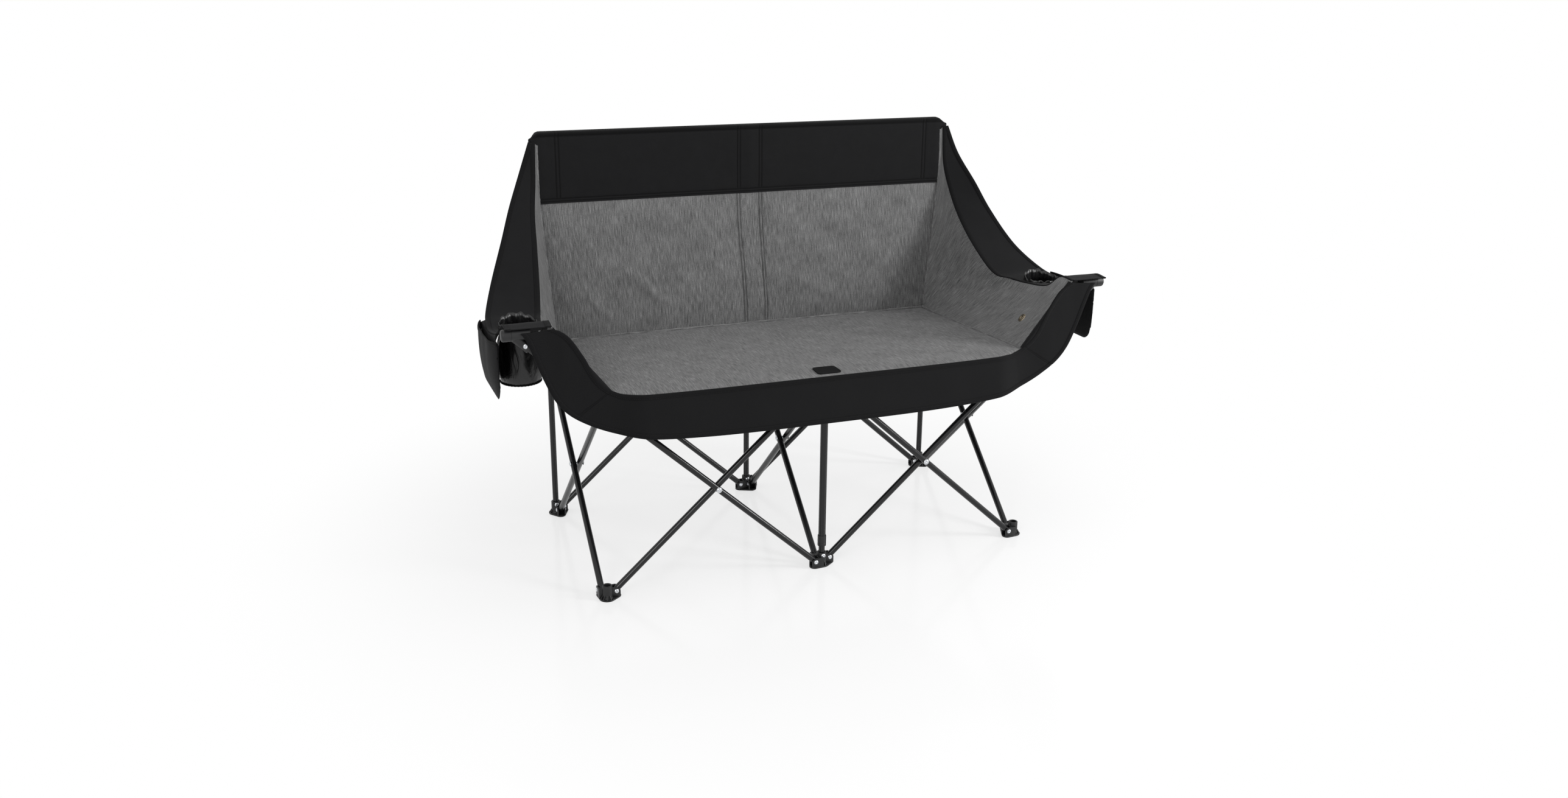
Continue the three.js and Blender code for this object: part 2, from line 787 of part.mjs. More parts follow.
// The flat-sided form that a sheet gives a surface, so small pieces sit on what is really there
function faceted(surface, across, along) {
  return (u, v) => {
    const i = Math.min(Math.floor(u * across), across - 1);
    const j = Math.min(Math.floor(v * along), along - 1);
    const corner = (a, b) => surface((i + a) / across, (j + b) / along);
    const near = corner(0, 0).lerp(corner(1, 0), u * across - i);
    const far = corner(0, 1).lerp(corner(1, 1), u * across - i);
    return near.lerp(far, v * along - j);
  };
}

function grommetPlace(side) {
  const surface = faceted(onSide(panelSurface, side), slingSteps, panelSteps);
  return nearestOn(surface, { y: frontY + grommetBack, z: seatFrontZ + grommetRise });
}

function sidePanel(name, side) {
  const body = sheet(onSide(panelSurface, side), evenCloth, slingSteps, panelSteps);
  const place = grommetPlace(side);
  const hole = rodAlong(place, grommetBarrel + clothGap, clothThickness, postSides);
  const faces = [1, -1].map((face) => {
    const out = face * (grommetFace - gap + grommetLip);
    const point = place.point.clone().addScaledVector(place.normal, out);
    return rodAlong({ ...place, point }, grommetRadius + clothGap, grommetLip, postSides);
  });
  return node(`side_panel_${name}`, cut(body, hole, ...faces), 'grey_cloth');
}

function grommet(name, side) {
  const far = grommetFace + grommetLip;
  const ring = turned(
    [
      [grommetHole, -far],
      [grommetRadius - grommetLip, -far],
      [grommetRadius, -grommetFace],
      [grommetBarrel, -grommetFace],
      [grommetBarrel, grommetFace],
      [grommetRadius, grommetFace],
      [grommetRadius - grommetLip, far],
      [grommetHole, far],
      [grommetHole, -far],
    ],
    postSides,
  );
  const mesh = node(`grommet_${name}`, ring, 'brass');
  const { point, normal } = grommetPlace(side);
  mesh.position.copy(point);
  mesh.quaternion.setFromUnitVectors(new THREE.Vector3(0, 0, 1), normal);
  return mesh;
}

// Arm wings, with a hole for the cup pocket and a slot for a stemmed glass

const cupX = tipX - cupInset;
const cupY = frontY + cupBack;
const armHere = nearestOn(wingSurface, { x: cupX, y: cupY }).point.z;

function armWing(name, side) {
  const body = sheet(onSide(wingSurface, side), evenCloth, slingSteps, wingSteps);
  const hole = bore(
    cupMouthRadius + clothGap,
    [side * cupX, cupY, armHere - cupNeck],
    [side * cupX, cupY, armHere + cupNeck],
    cupSides,
  );
  const slotY = frontY + slotBack;
  const edge = nearestOn((u) => wingSurface(u, 1), { y: slotY }).point;
  const end = side * (edge.x - slotLength + slotWidth / 2);
  const mouth = side * (edge.x + slotWidth);
  const through = [edge.z - slotWidth, edge.z + slotWidth];
  const slot = joined(
    box(
      [Math.min(end, mouth), Math.max(end, mouth)],
      [slotY - slotWidth / 2, slotY + slotWidth / 2],
      through,
    ),
    rod(slotWidth / 2, ...through.map((z) => [end, slotY, z]), postSides),
  );
  return node(`arm_wing_${name}`, cut(body, hole, slot), 'black_cloth');
}

function cupPocket(name, side) {
  const top = armHere + cupRimRise;
  const neck = armHere - cupRimRise;
  const shoulder = neck - cupNeck;
  const floor = top - cupDepth;
  const belly = floor + cupNeck;
  const wall = clothThickness;
  const body = turned(
    [
      [0, floor],
      [cupFloorRadius, floor],
      [cupBodyRadius, belly],
      [cupBodyRadius, shoulder],
      [cupMouthRadius, neck],
      [cupMouthRadius, top],
      [cupMouthRadius - wall, top],
      [cupMouthRadius - wall, neck],
      [cupBodyRadius - wall, shoulder],
      [cupBodyRadius - wall, belly],
      [cupFloorRadius - wall, floor + wall],
      [0, floor + wall],
    ],
    cupSides,
  );
  const mesh = node(`cup_pocket_${name}`, body, 'nylon');
  mesh.position.set(side * cupX, cupY, 0);
  return mesh;
}

// A flat pouch that hangs from the arm's outer edge with its mouth open
function sidePocket(name, side) {
  const inner = bay + armOverhang * Math.max(...armEdgeShares.map(([across]) => across)) + clothGap;
  const wall = halfCloth;
  const middle = frontY + pocketFront + pocketLength / 2;
  const top = nearestOn(wingSurface, { x: inner, y: middle }).point.z + pocketLip;
  const floor = top - pocketDepth;
  const pouch = slab(
    [[0, floor], [pocketFloorWidth, floor], [pocketMouth, top], [0, top]],
    0,
    pocketLength / 2,
  );
  const hollow = slab(
    [
      [wall, floor + wall],
      [pocketFloorWidth - wall, floor + wall],
      [pocketMouth - wall, top],
      [pocketMouth - wall, top + overrun],
      [wall, top + overrun],
    ],
    0,
    pocketLength / 2 - wall,
  );
  const mesh = node(`side_pocket_${name}`, cut(pouch, hollow), 'black_cloth');
  mesh.position.set(side * inner, middle, 0);
  mesh.rotation.z = side > 0 ? 0 : Math.PI;
  return mesh;
}

// Front band: one sheet across the seat's front edge and up the front of both arms
// Seat shares: of the seat's half width, then of the band's drop, for the upper and the lower edge
const apronSeatShares = [
  [0, 0, 0, 1],
  [0.594, 0, 0.594, 0.97],
  [0.875, -0.02, 0.875, 0.87],
  [0.948, -0.04, 0.99, 0.75],
  [0.979, -0.08, 1.104, 0.53],
];
// Arm shares: beyond the outer post, then of the arm's rise above the seat's front, for both edges
const apronArmShares = [
  [-0.056, 0.12, 0.395, -0.17],
  [0.068, 0.26, 0.542, 0.02],
  [0.232, 0.6, 0.667, 0.31],
  [0.384, 0.85, 0.79, 0.68],
  [0.48, 0.93, 0.85, 0.85],
  [0.565, 0.965, 0.904, 0.945],
];

function apronEdge(which) {
  const seat = apronSeatShares.map((row) => [
    seatHalf * row[2 * which],
    seatFrontZ - apronDrop * row[2 * which + 1],
  ]);
  const arm = apronArmShares.map((row) => [
    bay + armOverhang * row[2 * which],
    seatFrontZ + armRise * row[2 * which + 1],
  ]);
  const right = [...seat, ...arm].map(([x, z]) => new THREE.Vector3(x, 0, z));
  const left = right.slice(1).reverse().map(({ x, z }) => new THREE.Vector3(-x, 0, z));
  return smoothCurve([...left, ...right]);
}

const apronTop = apronEdge(0);
const apronBottom = apronEdge(1);

function apronSurface(u, v) {
  const point = apronBottom(u).lerp(apronTop(u), v);
  const nose = smoothstep(seatHalf - Math.abs(apronTop(u).x), 0, seatCorner);
  const lean = apronLean * nose * (1 - v);
  point.y = lerp(flankY, noseY - clothGap - halfCloth, nose) - lean;
  return point;
}

function frontBand() {
  return node('front_band', sheet(apronSurface, evenCloth, apronSteps, apronDepthSteps), 'black_cloth');
}

function seatPatch() {
  const start = noseY + patchInset;
  const surface = (u, v) => {
    const x = lerp(-patchWidth / 2, patchWidth / 2, u);
    const y = lerp(start, start + patchDepth, v);
    const back = (y - noseY) / (sewnRearY - noseY);
    const padHere = seatPad((x + seatHalf) / (2 * seatHalf), back);
    const z = seatPoint(x, back).z + (padHere + patchThickness) / 2 + clothGap;
    return new THREE.Vector3(x, y, z);
  };
  const body = sheet(surface, () => patchThickness, patchSteps, patchSteps);
  const [x, y] = [patchWidth / 2 - patchCorner, patchDepth / 2 - patchCorner];
  const corners = [[x, y], [-x, y], [-x, -y], [x, -y]].flatMap((corner, i) => (
    arc(corner, patchCorner, (i * Math.PI) / 2, ((i + 1) * Math.PI) / 2, endSteps)
  ));
  const prism = new THREE.ExtrudeGeometry(
    new THREE.Shape(corners.map(([a, b]) => new THREE.Vector2(a, b))),
    { depth: 2 * seatThickness, bevelEnabled: false },
  ).translate(0, start + patchDepth / 2, seatFrontZ - seatThickness);
  return node('seat_patch', common(body, prism), 'patch_rubber');
}

// Assembly: stations carry feet, hubs and posts, and each tube hangs in the frame of its foot pin

const tubePlan = [
  ['tube_back_left_a', 'back_left', 'back_centre'],
  ['tube_back_left_b', 'back_centre', 'back_left'],
  ['tube_back_right_a', 'back_right', 'back_centre'],
  ['tube_back_right_b', 'back_centre', 'back_right'],
  ['tube_side_left_a', 'back_left', 'front_left'],
  ['tube_side_left_b', 'front_left', 'back_left'],
  ['tube_side_right_a', 'back_right', 'front_right'],
  ['tube_side_right_b', 'front_right', 'back_right'],
  ['tube_middle_a', 'back_centre', 'front_centre'],
  ['tube_middle_b', 'front_centre', 'back_centre'],
  ['tube_arm_left', 'front_centre', 'front_left'],
  ['tube_front_left', 'front_left', 'front_centre'],
  ['tube_arm_right', 'front_centre', 'front_right'],
  ['tube_front_right', 'front_right', 'front_centre'],
];

function at(station, child) {
  const group = new THREE.Group();
  group.name = `at_${station}`;
  group.position.set(...stations[station], 0);
  group.add(...child);
  return group;
}

// The frame of a tube's foot pin: X runs along the tube in its open place
function pinFrame(from, to, level, ...children) {
  const turn = new THREE.Group();
  turn.position.set(...stations[from], 0);
  turn.rotation.z = heading(from, to);
  const tilt = new THREE.Group();
  tilt.position.set(pinInset, layer, footPinHeight);
  tilt.rotation.y = level ? 0 : -openAngle;
  tilt.add(...children);
  turn.add(tilt);
  return turn;
}

function neighbours(station) {
  return tubePlan.filter(([, from]) => from === station).map(([, , to]) => to);
}

function foot(station, holdsPost) {
  const angles = neighbours(station).map((to) => heading(station, to));
  return node(`foot_${station}`, footSolid(angles, holdsPost), 'plastic');
}

function hub(name, station, boreRadius) {
  const ends = tubePlan.filter(([, , to]) => to === station).map(([tube, from]) => ({
    angle: heading(station, from),
    runsOn: tube.startsWith('tube_arm'),
  }));
  return node(name, hubSolid(ends, boreRadius), 'plastic');
}

function tubes() {
  return tubePlan.map(([name, from, to]) => {
    const isArm = name.startsWith('tube_arm');
    const length = isArm ? armTubeLength - armTubeEndInset : pinSpan;
    const pins = [0, pinSpan / 2, pinSpan, ...(isArm ? [armTubeLength - fittingRivetInset] : [])];
    return pinFrame(from, to, false, node(name, scissorTube(length, pins, !isArm), 'powder_coat'));
  });
}

// Each crossing is held by one rivet, drawn in the frame of one of its two tubes
function pivots() {
  const crossings = [
    ['pivot_back_left', 'back_centre', 'back_left'],
    ['pivot_back_right', 'back_centre', 'back_right'],
    ['pivot_side_left', 'back_left', 'front_left'],
    ['pivot_side_right', 'back_right', 'front_right'],
    ['pivot_middle', 'back_centre', 'front_centre'],
    ['pivot_front_left', 'front_centre', 'front_left'],
    ['pivot_front_right', 'front_centre', 'front_right'],
  ];
  return crossings.map(([name, from, to]) => {
    const mesh = node(name, pivotRivet(), 'steel');
    mesh.position.x = pinSpan / 2;
    return pinFrame(from, to, false, mesh);
  });
}

function armEnd(name, to) {
  const mesh = node(name, armEndSolid(), 'plastic');
  mesh.position.set(tipX - pinInset, 0, tipZ - footPinHeight);
  return pinFrame('front_centre', to, true, mesh);
}

function backPost(station) {
  const bottom = socketFloor + gap;
  const solid = postSolid(tubeRadius, tubeWall, bottom, postTop, true);
  return node(`post_${station}`, withRivetHole(solid, postRivetHeight), 'powder_coat');
}

function frontPost() {
  const upper = upperPostDiameter / 2;
  const seatOfTube = collarBottom + collarLip;
  const lowerTop = hubPinHeight - postOverlap;
  const lower = postSolid(tubeRadius, tubeWall, socketFloor + gap, lowerTop, false);
  const upperTop = hubTop - edgeChamfer;
  const upperTube = postSolid(upper, upperPostWall, seatOfTube + gap, upperTop, false);
  const collar = turned(
    [
      [tubeRadius + gap, collarBottom],
      [collarDiameter / 2 - edgeChamfer, collarBottom],
      [collarDiameter / 2, collarBottom + edgeChamfer],
      [collarDiameter / 2, collarBottom + collarHeight],
      [upper + gap, collarBottom + collarHeight],
      [upper + gap, seatOfTube],
      [tubeRadius + gap, seatOfTube],
      [tubeRadius + gap, collarBottom],
    ],
    postSides,
  );
  return [
    node('post_front_lower', withRivetHole(lower, postRivetHeight), 'powder_coat'),
    node('post_front_upper', upperTube, 'powder_coat'),
    node('post_front_collar', collar, 'plastic'),
  ];
}

const slideBore = tubeRadius + slideClearance;
const hubBore = upperPostDiameter / 2 + gap;
const centreHub = hub('hub_front_centre', 'front_centre', hubBore);

const frame = new THREE.Group();
frame.name = 'frame';
frame.add(
  at('front_left', [foot('front_left', false), hub('hub_front_left', 'front_left', hubBore)]),
  at('front_centre', [foot('front_centre', true), centreHub, ...frontPost()]),
  at('front_right', [foot('front_right', false), hub('hub_front_right', 'front_right', hubBore)]),
  ...['back_left', 'back_centre', 'back_right'].map((station) => at(station, [
    foot(station, true),
    backPost(station),
    hub(`slider_${station}`, station, slideBore),
  ])),
  ...tubes(),
  ...pivots(),
  armEnd('arm_end_left', 'front_left'),
  armEnd('arm_end_right', 'front_right'),
);

const sling = new THREE.Group();
sling.name = 'sling';
sling.add(seatPanel(), backPanel(), backBand(), frontBand(), seatPatch());
sling.add(...[['left', -bay], ['centre', 0], ['right', bay]].map(([name, x]) => backSleeve(name, x)));
[['left', -1], ['right', 1]].forEach(([name, side]) => {
  sling.add(sidePanel(name, side), grommet(name, side), armWing(name, side));
  sling.add(cupPocket(name, side), sidePocket(name, side));
});

const loveseat = new THREE.Group();
loveseat.name = 'folding_loveseat';
loveseat.add(frame, sling);
loveseat.updateMatrixWorld(true);
const extent = new THREE.Box3().setFromObject(loveseat);
loveseat.position.y = -(extent.min.y + extent.max.y) / 2;
loveseat.updateMatrixWorld(true);

export default loveseat;
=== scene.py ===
import math
import bmesh
import bpy
import numpy as np
from mathutils import Matrix, Vector
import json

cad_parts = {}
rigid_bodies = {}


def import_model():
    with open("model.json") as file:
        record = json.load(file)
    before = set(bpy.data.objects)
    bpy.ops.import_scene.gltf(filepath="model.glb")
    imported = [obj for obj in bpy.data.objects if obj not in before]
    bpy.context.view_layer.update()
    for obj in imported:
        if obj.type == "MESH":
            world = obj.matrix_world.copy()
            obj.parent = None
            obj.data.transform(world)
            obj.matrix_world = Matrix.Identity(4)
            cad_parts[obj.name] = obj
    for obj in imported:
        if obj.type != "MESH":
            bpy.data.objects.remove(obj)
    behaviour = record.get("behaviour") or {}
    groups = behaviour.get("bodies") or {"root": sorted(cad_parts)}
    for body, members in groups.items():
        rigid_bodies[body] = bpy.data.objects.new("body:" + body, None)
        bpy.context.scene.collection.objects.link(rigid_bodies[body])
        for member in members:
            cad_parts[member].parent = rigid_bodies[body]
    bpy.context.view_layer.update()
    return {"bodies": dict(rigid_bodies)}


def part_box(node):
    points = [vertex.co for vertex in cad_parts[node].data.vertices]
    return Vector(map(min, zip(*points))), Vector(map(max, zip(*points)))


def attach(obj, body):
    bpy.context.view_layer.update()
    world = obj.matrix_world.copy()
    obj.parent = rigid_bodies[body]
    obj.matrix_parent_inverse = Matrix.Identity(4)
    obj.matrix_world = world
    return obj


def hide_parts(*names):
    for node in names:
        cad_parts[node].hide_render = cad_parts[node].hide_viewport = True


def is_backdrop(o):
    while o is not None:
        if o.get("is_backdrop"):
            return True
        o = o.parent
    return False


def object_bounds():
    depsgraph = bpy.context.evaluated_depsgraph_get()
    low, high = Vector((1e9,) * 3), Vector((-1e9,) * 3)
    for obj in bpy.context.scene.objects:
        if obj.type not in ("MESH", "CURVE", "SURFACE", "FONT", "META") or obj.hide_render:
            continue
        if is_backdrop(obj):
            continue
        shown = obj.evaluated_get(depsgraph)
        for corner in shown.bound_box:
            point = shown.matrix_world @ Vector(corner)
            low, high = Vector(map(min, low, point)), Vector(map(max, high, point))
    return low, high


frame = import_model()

# Every length is in millimetres, as in the CAD source, and turned to metres when a piece is made.
MM = 0.001

# Frame
BAY = 500
TUBE_RADIUS = 7
TUBE_LENGTH_ON_ARM = 876
FOOT_PIN = 16
HUB_PIN = 430
PIN_INSET = 20
ARM_REACH = 884
LAYER = 7.5
SLOT_HALF = 7.3
FORK_HALF = 10.3
LUG_RADIUS = 9
PIN_RADIUS = 2.5
HEAD_RADIUS = 5
HEAD_HEIGHT = 1.8
OPEN = math.atan2(HUB_PIN - FOOT_PIN, BAY - 2 * PIN_INSET)
PIN_SPAN = math.hypot(HUB_PIN - FOOT_PIN, BAY - 2 * PIN_INSET)
TIP = (PIN_INSET + ARM_REACH * math.cos(OPEN), FOOT_PIN + ARM_REACH * math.sin(OPEN))

# Feet, hubs and arm ends
FLANGE_RADIUS = 18
FLANGE_MARGIN = 12
FLANGE = 4
TOWER_RADIUS = 11
TOWER_TOP = 33
SOCKET_FLOOR = 8
SOCKET_RADIUS = 7.3
POST_RIVET = 26
HUB_RADIUS = 12.5
HUB_HALF = 9
UPPER_POST_RADIUS = 8.25
BARREL_RADIUS = 12.5
BARREL_INNER = 36
BARREL_OUTER = 22
SLEEVE_RADIUS = 10
SLEEVE_LENGTH = 46
POST_TOP = 929.5

# Sling
CLOTH = 1.8
SEAT_HALF = 480
SEAT_RUN = 518
SEAT_FRONT_Z = 461
SEAT_REAR_Z = 444
SEAT_FULL = 9
BACK_FULL = 8
PAD_EDGE = 4
PAD_SHOULDER = 60
SEAT_SAG = 5
CORNER_RISE = 8
CORNER_SWEEP = 70
NOSE_Y = -286
SEWN_FRONT_Y = -270
FLANK_Y = -271.5
SEWN_REAR_Y = 231.7
SIDE_REAR_Y = 230.7
BACK_Y = 236.2
BACK_LOW = 446.5
BACK_HIGH = 771.5
BAND_TOP = 935
BAND_LOW = 772
TRAY_Z = 621.2
OVERHANG = 177
BACK_RISE = 313.8
ARM_RISE = 160.2
SIDE_BULGE = 6
SEAM_MARGIN = 1.25
APRON_DROP = 100
APRON_LEAN = 14

stations = {
    "front_left": (-BAY, -BAY / 2), "front_centre": (0, -BAY / 2), "front_right": (BAY, -BAY / 2),
    "back_left": (-BAY, BAY / 2), "back_centre": (0, BAY / 2), "back_right": (BAY, BAY / 2),
}
front_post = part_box("post_front_lower")
SHIFT = np.array([0.0, (front_post[0].y + front_post[1].y) / 2 + BAY / 2 * MM, 0.0])
scene = bpy.context.scene


# Finishes

def linear(code):
    """An sRGB hex value as the linear colour that a shader takes."""
    parts = [int(code[i:i + 2], 16) / 255 for i in (1, 3, 5)]
    return [c / 12.92 if c <= 0.04045 else ((c + 0.055) / 1.055) ** 2.4 for c in parts] + [1.0]


def put(tree, kind, sockets=None, **settings):
    """Adds a node, sets what it is set to, and links or fills its sockets."""
    node = tree.nodes.new(kind)
    for name, value in settings.items():
        setattr(node, name, value)
    for name, value in (sockets or {}).items():
        if isinstance(value, bpy.types.NodeSocket):
            tree.links.new(value, node.inputs[name])
        else:
            node.inputs[name].default_value = value
    return node


def new_finish(name):
    material = bpy.data.materials.new(name)
    material.use_nodes = True
    tree = material.node_tree
    tree.nodes.clear()
    return material, tree


def stops(node, *rows):
    """Sets a colour ramp's stops, each a place and an sRGB hex value."""
    ramp = node.color_ramp
    while len(ramp.elements) < len(rows):
        ramp.elements.new(0.5)
    for element, (place, code) in zip(ramp.elements, rows):
        element.position, element.color = place, linear(code)
    return node


def darkening(tree, tint, floor):
    """Darkens a cloth's colour by a stored attribute: painted shade in the grooves of seams and quilting, and a darker
    top edge on the back band.
    """
    depth = put(tree, "ShaderNodeAttribute", attribute_name="darkening")
    shade = put(tree, "ShaderNodeMapRange", {"Value": depth.outputs["Fac"], "To Min": 1.0, "To Max": floor})
    return put(tree, "ShaderNodeVectorMath", {0: tint.outputs[0], "Scale": shade.outputs[0]}, operation="SCALE")


def melange_polyester(name, dark, middle, light):
    """Melange polyester, plain woven from light and dark yarn: short streaks along the warp over a fine weave."""
    material, tree = new_finish(name)
    place = put(tree, "ShaderNodeUVMap", uv_map="cloth").outputs[0]
    # a streak is about 1.5 mm wide and 26 mm long, as the yarn's light slubs are
    streaks = put(tree, "ShaderNodeMapping", {"Vector": place, "Scale": (1 / 0.0015, 1 / 0.026, 1)})
    streak = put(tree, "ShaderNodeTexNoise", {"Vector": streaks.outputs[0], "Scale": 1.0, "Detail": 3.0,
                                              "Roughness": 0.65}, noise_dimensions="2D")
    # a single thread shows as a fleck where it rises over its neighbours, here 1.1 by 3 mm so that it shows
    grain = put(tree, "ShaderNodeMapping", {"Vector": place, "Scale": (1 / 0.0011, 1 / 0.003, 1)})
    fleck = put(tree, "ShaderNodeTexNoise", {"Vector": grain.outputs[0], "Scale": 1.0, "Detail": 2.0},
                noise_dimensions="2D")
    # the dye takes a little unevenly over some 60 mm
    cloud = put(tree, "ShaderNodeTexNoise", {"Vector": place, "Scale": 1 / 0.06, "Detail": 2.0},
                noise_dimensions="2D")
    # now and then several slubs lie side by side, 2.8 mm wide and 45 mm long in all
    bundles = put(tree, "ShaderNodeMapping", {"Vector": place, "Scale": (1 / 0.0028, 1 / 0.045, 1)})
    bundle = put(tree, "ShaderNodeTexNoise", {"Vector": bundles.outputs[0], "Scale": 1.0, "Detail": 1.0},
                 noise_dimensions="2D")
    both = put(tree, "ShaderNodeMix", {0: 0.3, 2: streak.outputs[0], 3: fleck.outputs[0]})
    slubs = put(tree, "ShaderNodeMix", {0: 0.17, 2: both.outputs[0], 3: bundle.outputs[0]})
    toned = put(tree, "ShaderNodeMix", {0: 0.09, 2: slubs.outputs[0], 3: cloud.outputs[0]})
    tint = stops(put(tree, "ShaderNodeValToRGB", {"Fac": toned.outputs[0]}),
                 (0.37, dark), (0.51, middle), (0.66, light))
    # where seams and quilting sink the cloth, its colour is darkened down to half: painted shade in the grooves
    tint = darkening(tree, tint, 0.5)
    # threads lie 0.5 mm apart in the real cloth, and are drawn 1.2 mm apart so that they show
    warp = put(tree, "ShaderNodeTexWave", {"Vector": place, "Scale": 1 / 0.0012 / 20 * 6.4, "Distortion": 0.6},
               bands_direction="X")
    weft = put(tree, "ShaderNodeTexWave", {"Vector": place, "Scale": 1 / 0.0012 / 20 * 6.4, "Distortion": 0.6},
               bands_direction="Y")
    weave = put(tree, "ShaderNodeMath", {0: warp.outputs[1], 1: weft.outputs[1]}, operation="MULTIPLY")
    raised = put(tree, "ShaderNodeMath", {0: weave.outputs[0], 1: streak.outputs[0]}, operation="ADD")
    bump = put(tree, "ShaderNodeBump", {"Height": raised.outputs[0], "Strength": 0.35, "Distance": 0.0004})
    worn = put(tree, "ShaderNodeMapRange", {"Value": cloud.outputs[0], "To Min": 0.84, "To Max": 0.96})
    shader = put(tree, "ShaderNodeBsdfPrincipled", {
        "Base Color": tint.outputs[0], "Roughness": worn.outputs[0], "Normal": bump.outputs[0],
        "Specular IOR Level": 0.2, "Sheen Weight": 0.12, "Sheen Roughness": 0.5,
        "Sheen Tint": linear("#d8d8d8")})
    put(tree, "ShaderNodeOutputMaterial", {"Surface": shader.outputs[0]})
    return material


def oxford_polyester(name, dark, light):
    """Oxford polyester, basket woven and dyed black: a matt ground with a faint square grid of yarn."""
    material, tree = new_finish(name)
    place = put(tree, "ShaderNodeUVMap", uv_map="cloth").outputs[0]
    # wear and handling dull it in patches of some 35 mm, and single yarns differ every 1.6 mm
    cloud = put(tree, "ShaderNodeTexNoise", {"Vector": place, "Scale": 1 / 0.035, "Detail": 4.0,
                                             "Roughness": 0.6}, noise_dimensions="2D")
    fleck = put(tree, "ShaderNodeTexNoise", {"Vector": place, "Scale": 1 / 0.0016, "Detail": 2.0},
                noise_dimensions="2D")
    both = put(tree, "ShaderNodeMix", {0: 0.5, 2: cloud.outputs[0], 3: fleck.outputs[0]})
    tint = stops(put(tree, "ShaderNodeValToRGB", {"Fac": both.outputs[0]}), (0.3, dark), (0.7, light))
    # along seams, and at the top of the back band, the colour is darkened down to 0.12 of itself: painted shade in the
    # seams' grooves
    tint = darkening(tree, tint, 0.12)
    # the basket weave repeats every 1 mm in the real cloth, and is drawn at 1.6 mm so that it shows
    warp = put(tree, "ShaderNodeTexWave", {"Vector": place, "Scale": 1 / 0.0016 / 20 * 6.4}, bands_direction="X")
    weft = put(tree, "ShaderNodeTexWave", {"Vector": place, "Scale": 1 / 0.0016 / 20 * 6.4}, bands_direction="Y")
    weave = put(tree, "ShaderNodeMath", {0: warp.outputs[1], 1: weft.outputs[1]}, operation="MULTIPLY")
    bump = put(tree, "ShaderNodeBump", {"Height": weave.outputs[0], "Strength": 0.4, "Distance": 0.0004})
    worn = put(tree, "ShaderNodeMapRange", {"Value": cloud.outputs[0], "To Min": 0.72, "To Max": 0.9})
    shader = put(tree, "ShaderNodeBsdfPrincipled", {
        "Base Color": tint.outputs[0], "Roughness": worn.outputs[0], "Normal": bump.outputs[0],
        "Specular IOR Level": 0.13, "Sheen Weight": 0.02, "Sheen Roughness": 0.5})
    put(tree, "ShaderNodeOutputMaterial", {"Surface": shader.outputs[0]})
    return material


def nylon_taffeta(name, dark, light):
    """Nylon taffeta, calendered: a soft shine that breaks up on creases of about 24 mm, taller than wide."""
    material, tree = new_finish(name)
    place = put(tree, "ShaderNodeTexCoord").outputs["Object"]
    tall = put(tree, "ShaderNodeMapping", {"Vector": place, "Scale": (1, 1, 0.45)})
    crease = put(tree, "ShaderNodeTexNoise", {"Vector": tall.outputs[0], "Scale": 1 / 0.024, "Detail": 4.0,
                                              "Roughness": 0.55, "Distortion": 1.0})
    # the colour follows the creases: darker in their hollows and lighter on their ridges, painted shade
    tint = stops(put(tree, "ShaderNodeValToRGB", {"Fac": crease.outputs[0]}), (0.3, dark), (0.7, light))
    bump = put(tree, "ShaderNodeBump", {"Height": crease.outputs[0], "Strength": 0.7, "Distance": 0.004})
    worn = put(tree, "ShaderNodeMapRange", {"Value": crease.outputs[0], "To Min": 0.24, "To Max": 0.42})
    shader = put(tree, "ShaderNodeBsdfPrincipled", {
        "Base Color": tint.outputs[0], "Roughness": worn.outputs[0], "Normal": bump.outputs[0],
        "Specular IOR Level": 0.5, "Anisotropic": 0.3})
    put(tree, "ShaderNodeOutputMaterial", {"Surface": shader.outputs[0]})
    return material


def coated(name, dark, light, grit, roughness, relief, specular):
    """A hard surface, coated, moulded or twisted: an even colour, a grit in millimetres, small changes of gloss."""
    material, tree = new_finish(name)
    place = put(tree, "ShaderNodeTexCoord").outputs["Object"]
    peel = put(tree, "ShaderNodeTexNoise", {"Vector": place, "Scale": 1 / (grit * MM), "Detail": 2.0})
    cloud = put(tree, "ShaderNodeTexNoise", {"Vector": place, "Scale": 1 / 0.04, "Detail": 3.0})
    tint = stops(put(tree, "ShaderNodeValToRGB", {"Fac": cloud.outputs[0]}), (0.35, dark), (0.7, light))
    bump = put(tree, "ShaderNodeBump", {"Height": peel.outputs[0], "Strength": relief, "Distance": 0.0003})
    worn = put(tree, "ShaderNodeMapRange", {"Value": cloud.outputs[0], "From Min": 0.3, "From Max": 0.7,
                                            "To Min": roughness - 0.05, "To Max": roughness + 0.06})
    shader = put(tree, "ShaderNodeBsdfPrincipled", {
        "Base Color": tint.outputs[0], "Roughness": worn.outputs[0], "Normal": bump.outputs[0],
        "Specular IOR Level": specular})
    put(tree, "ShaderNodeOutputMaterial", {"Surface": shader.outputs[0]})
    return material


def plated(name, dark, light, low, high):
    """A plated or cast metal: bright on the high spots, dull where the plating has tarnished."""
    material, tree = new_finish(name)
    place = put(tree, "ShaderNodeTexCoord").outputs["Object"]
    # spots of tarnish lie some 3 mm apart
    tarnish = put(tree, "ShaderNodeTexNoise", {"Vector": place, "Scale": 1 / 0.003, "Detail": 4.0})
    tint = stops(put(tree, "ShaderNodeValToRGB", {"Fac": tarnish.outputs[0]}), (0.35, dark), (0.65, light))
    bump = put(tree, "ShaderNodeBump", {"Height": tarnish.outputs[0], "Strength": 0.1, "Distance": 0.0002})
    worn = put(tree, "ShaderNodeMapRange", {"Value": tarnish.outputs[0], "To Min": high, "To Max": low})
    shader = put(tree, "ShaderNodeBsdfPrincipled", {
        "Base Color": tint.outputs[0], "Metallic": 1.0, "Roughness": worn.outputs[0],
        "Normal": bump.outputs[0]})
    put(tree, "ShaderNodeOutputMaterial", {"Surface": shader.outputs[0]})
    return material


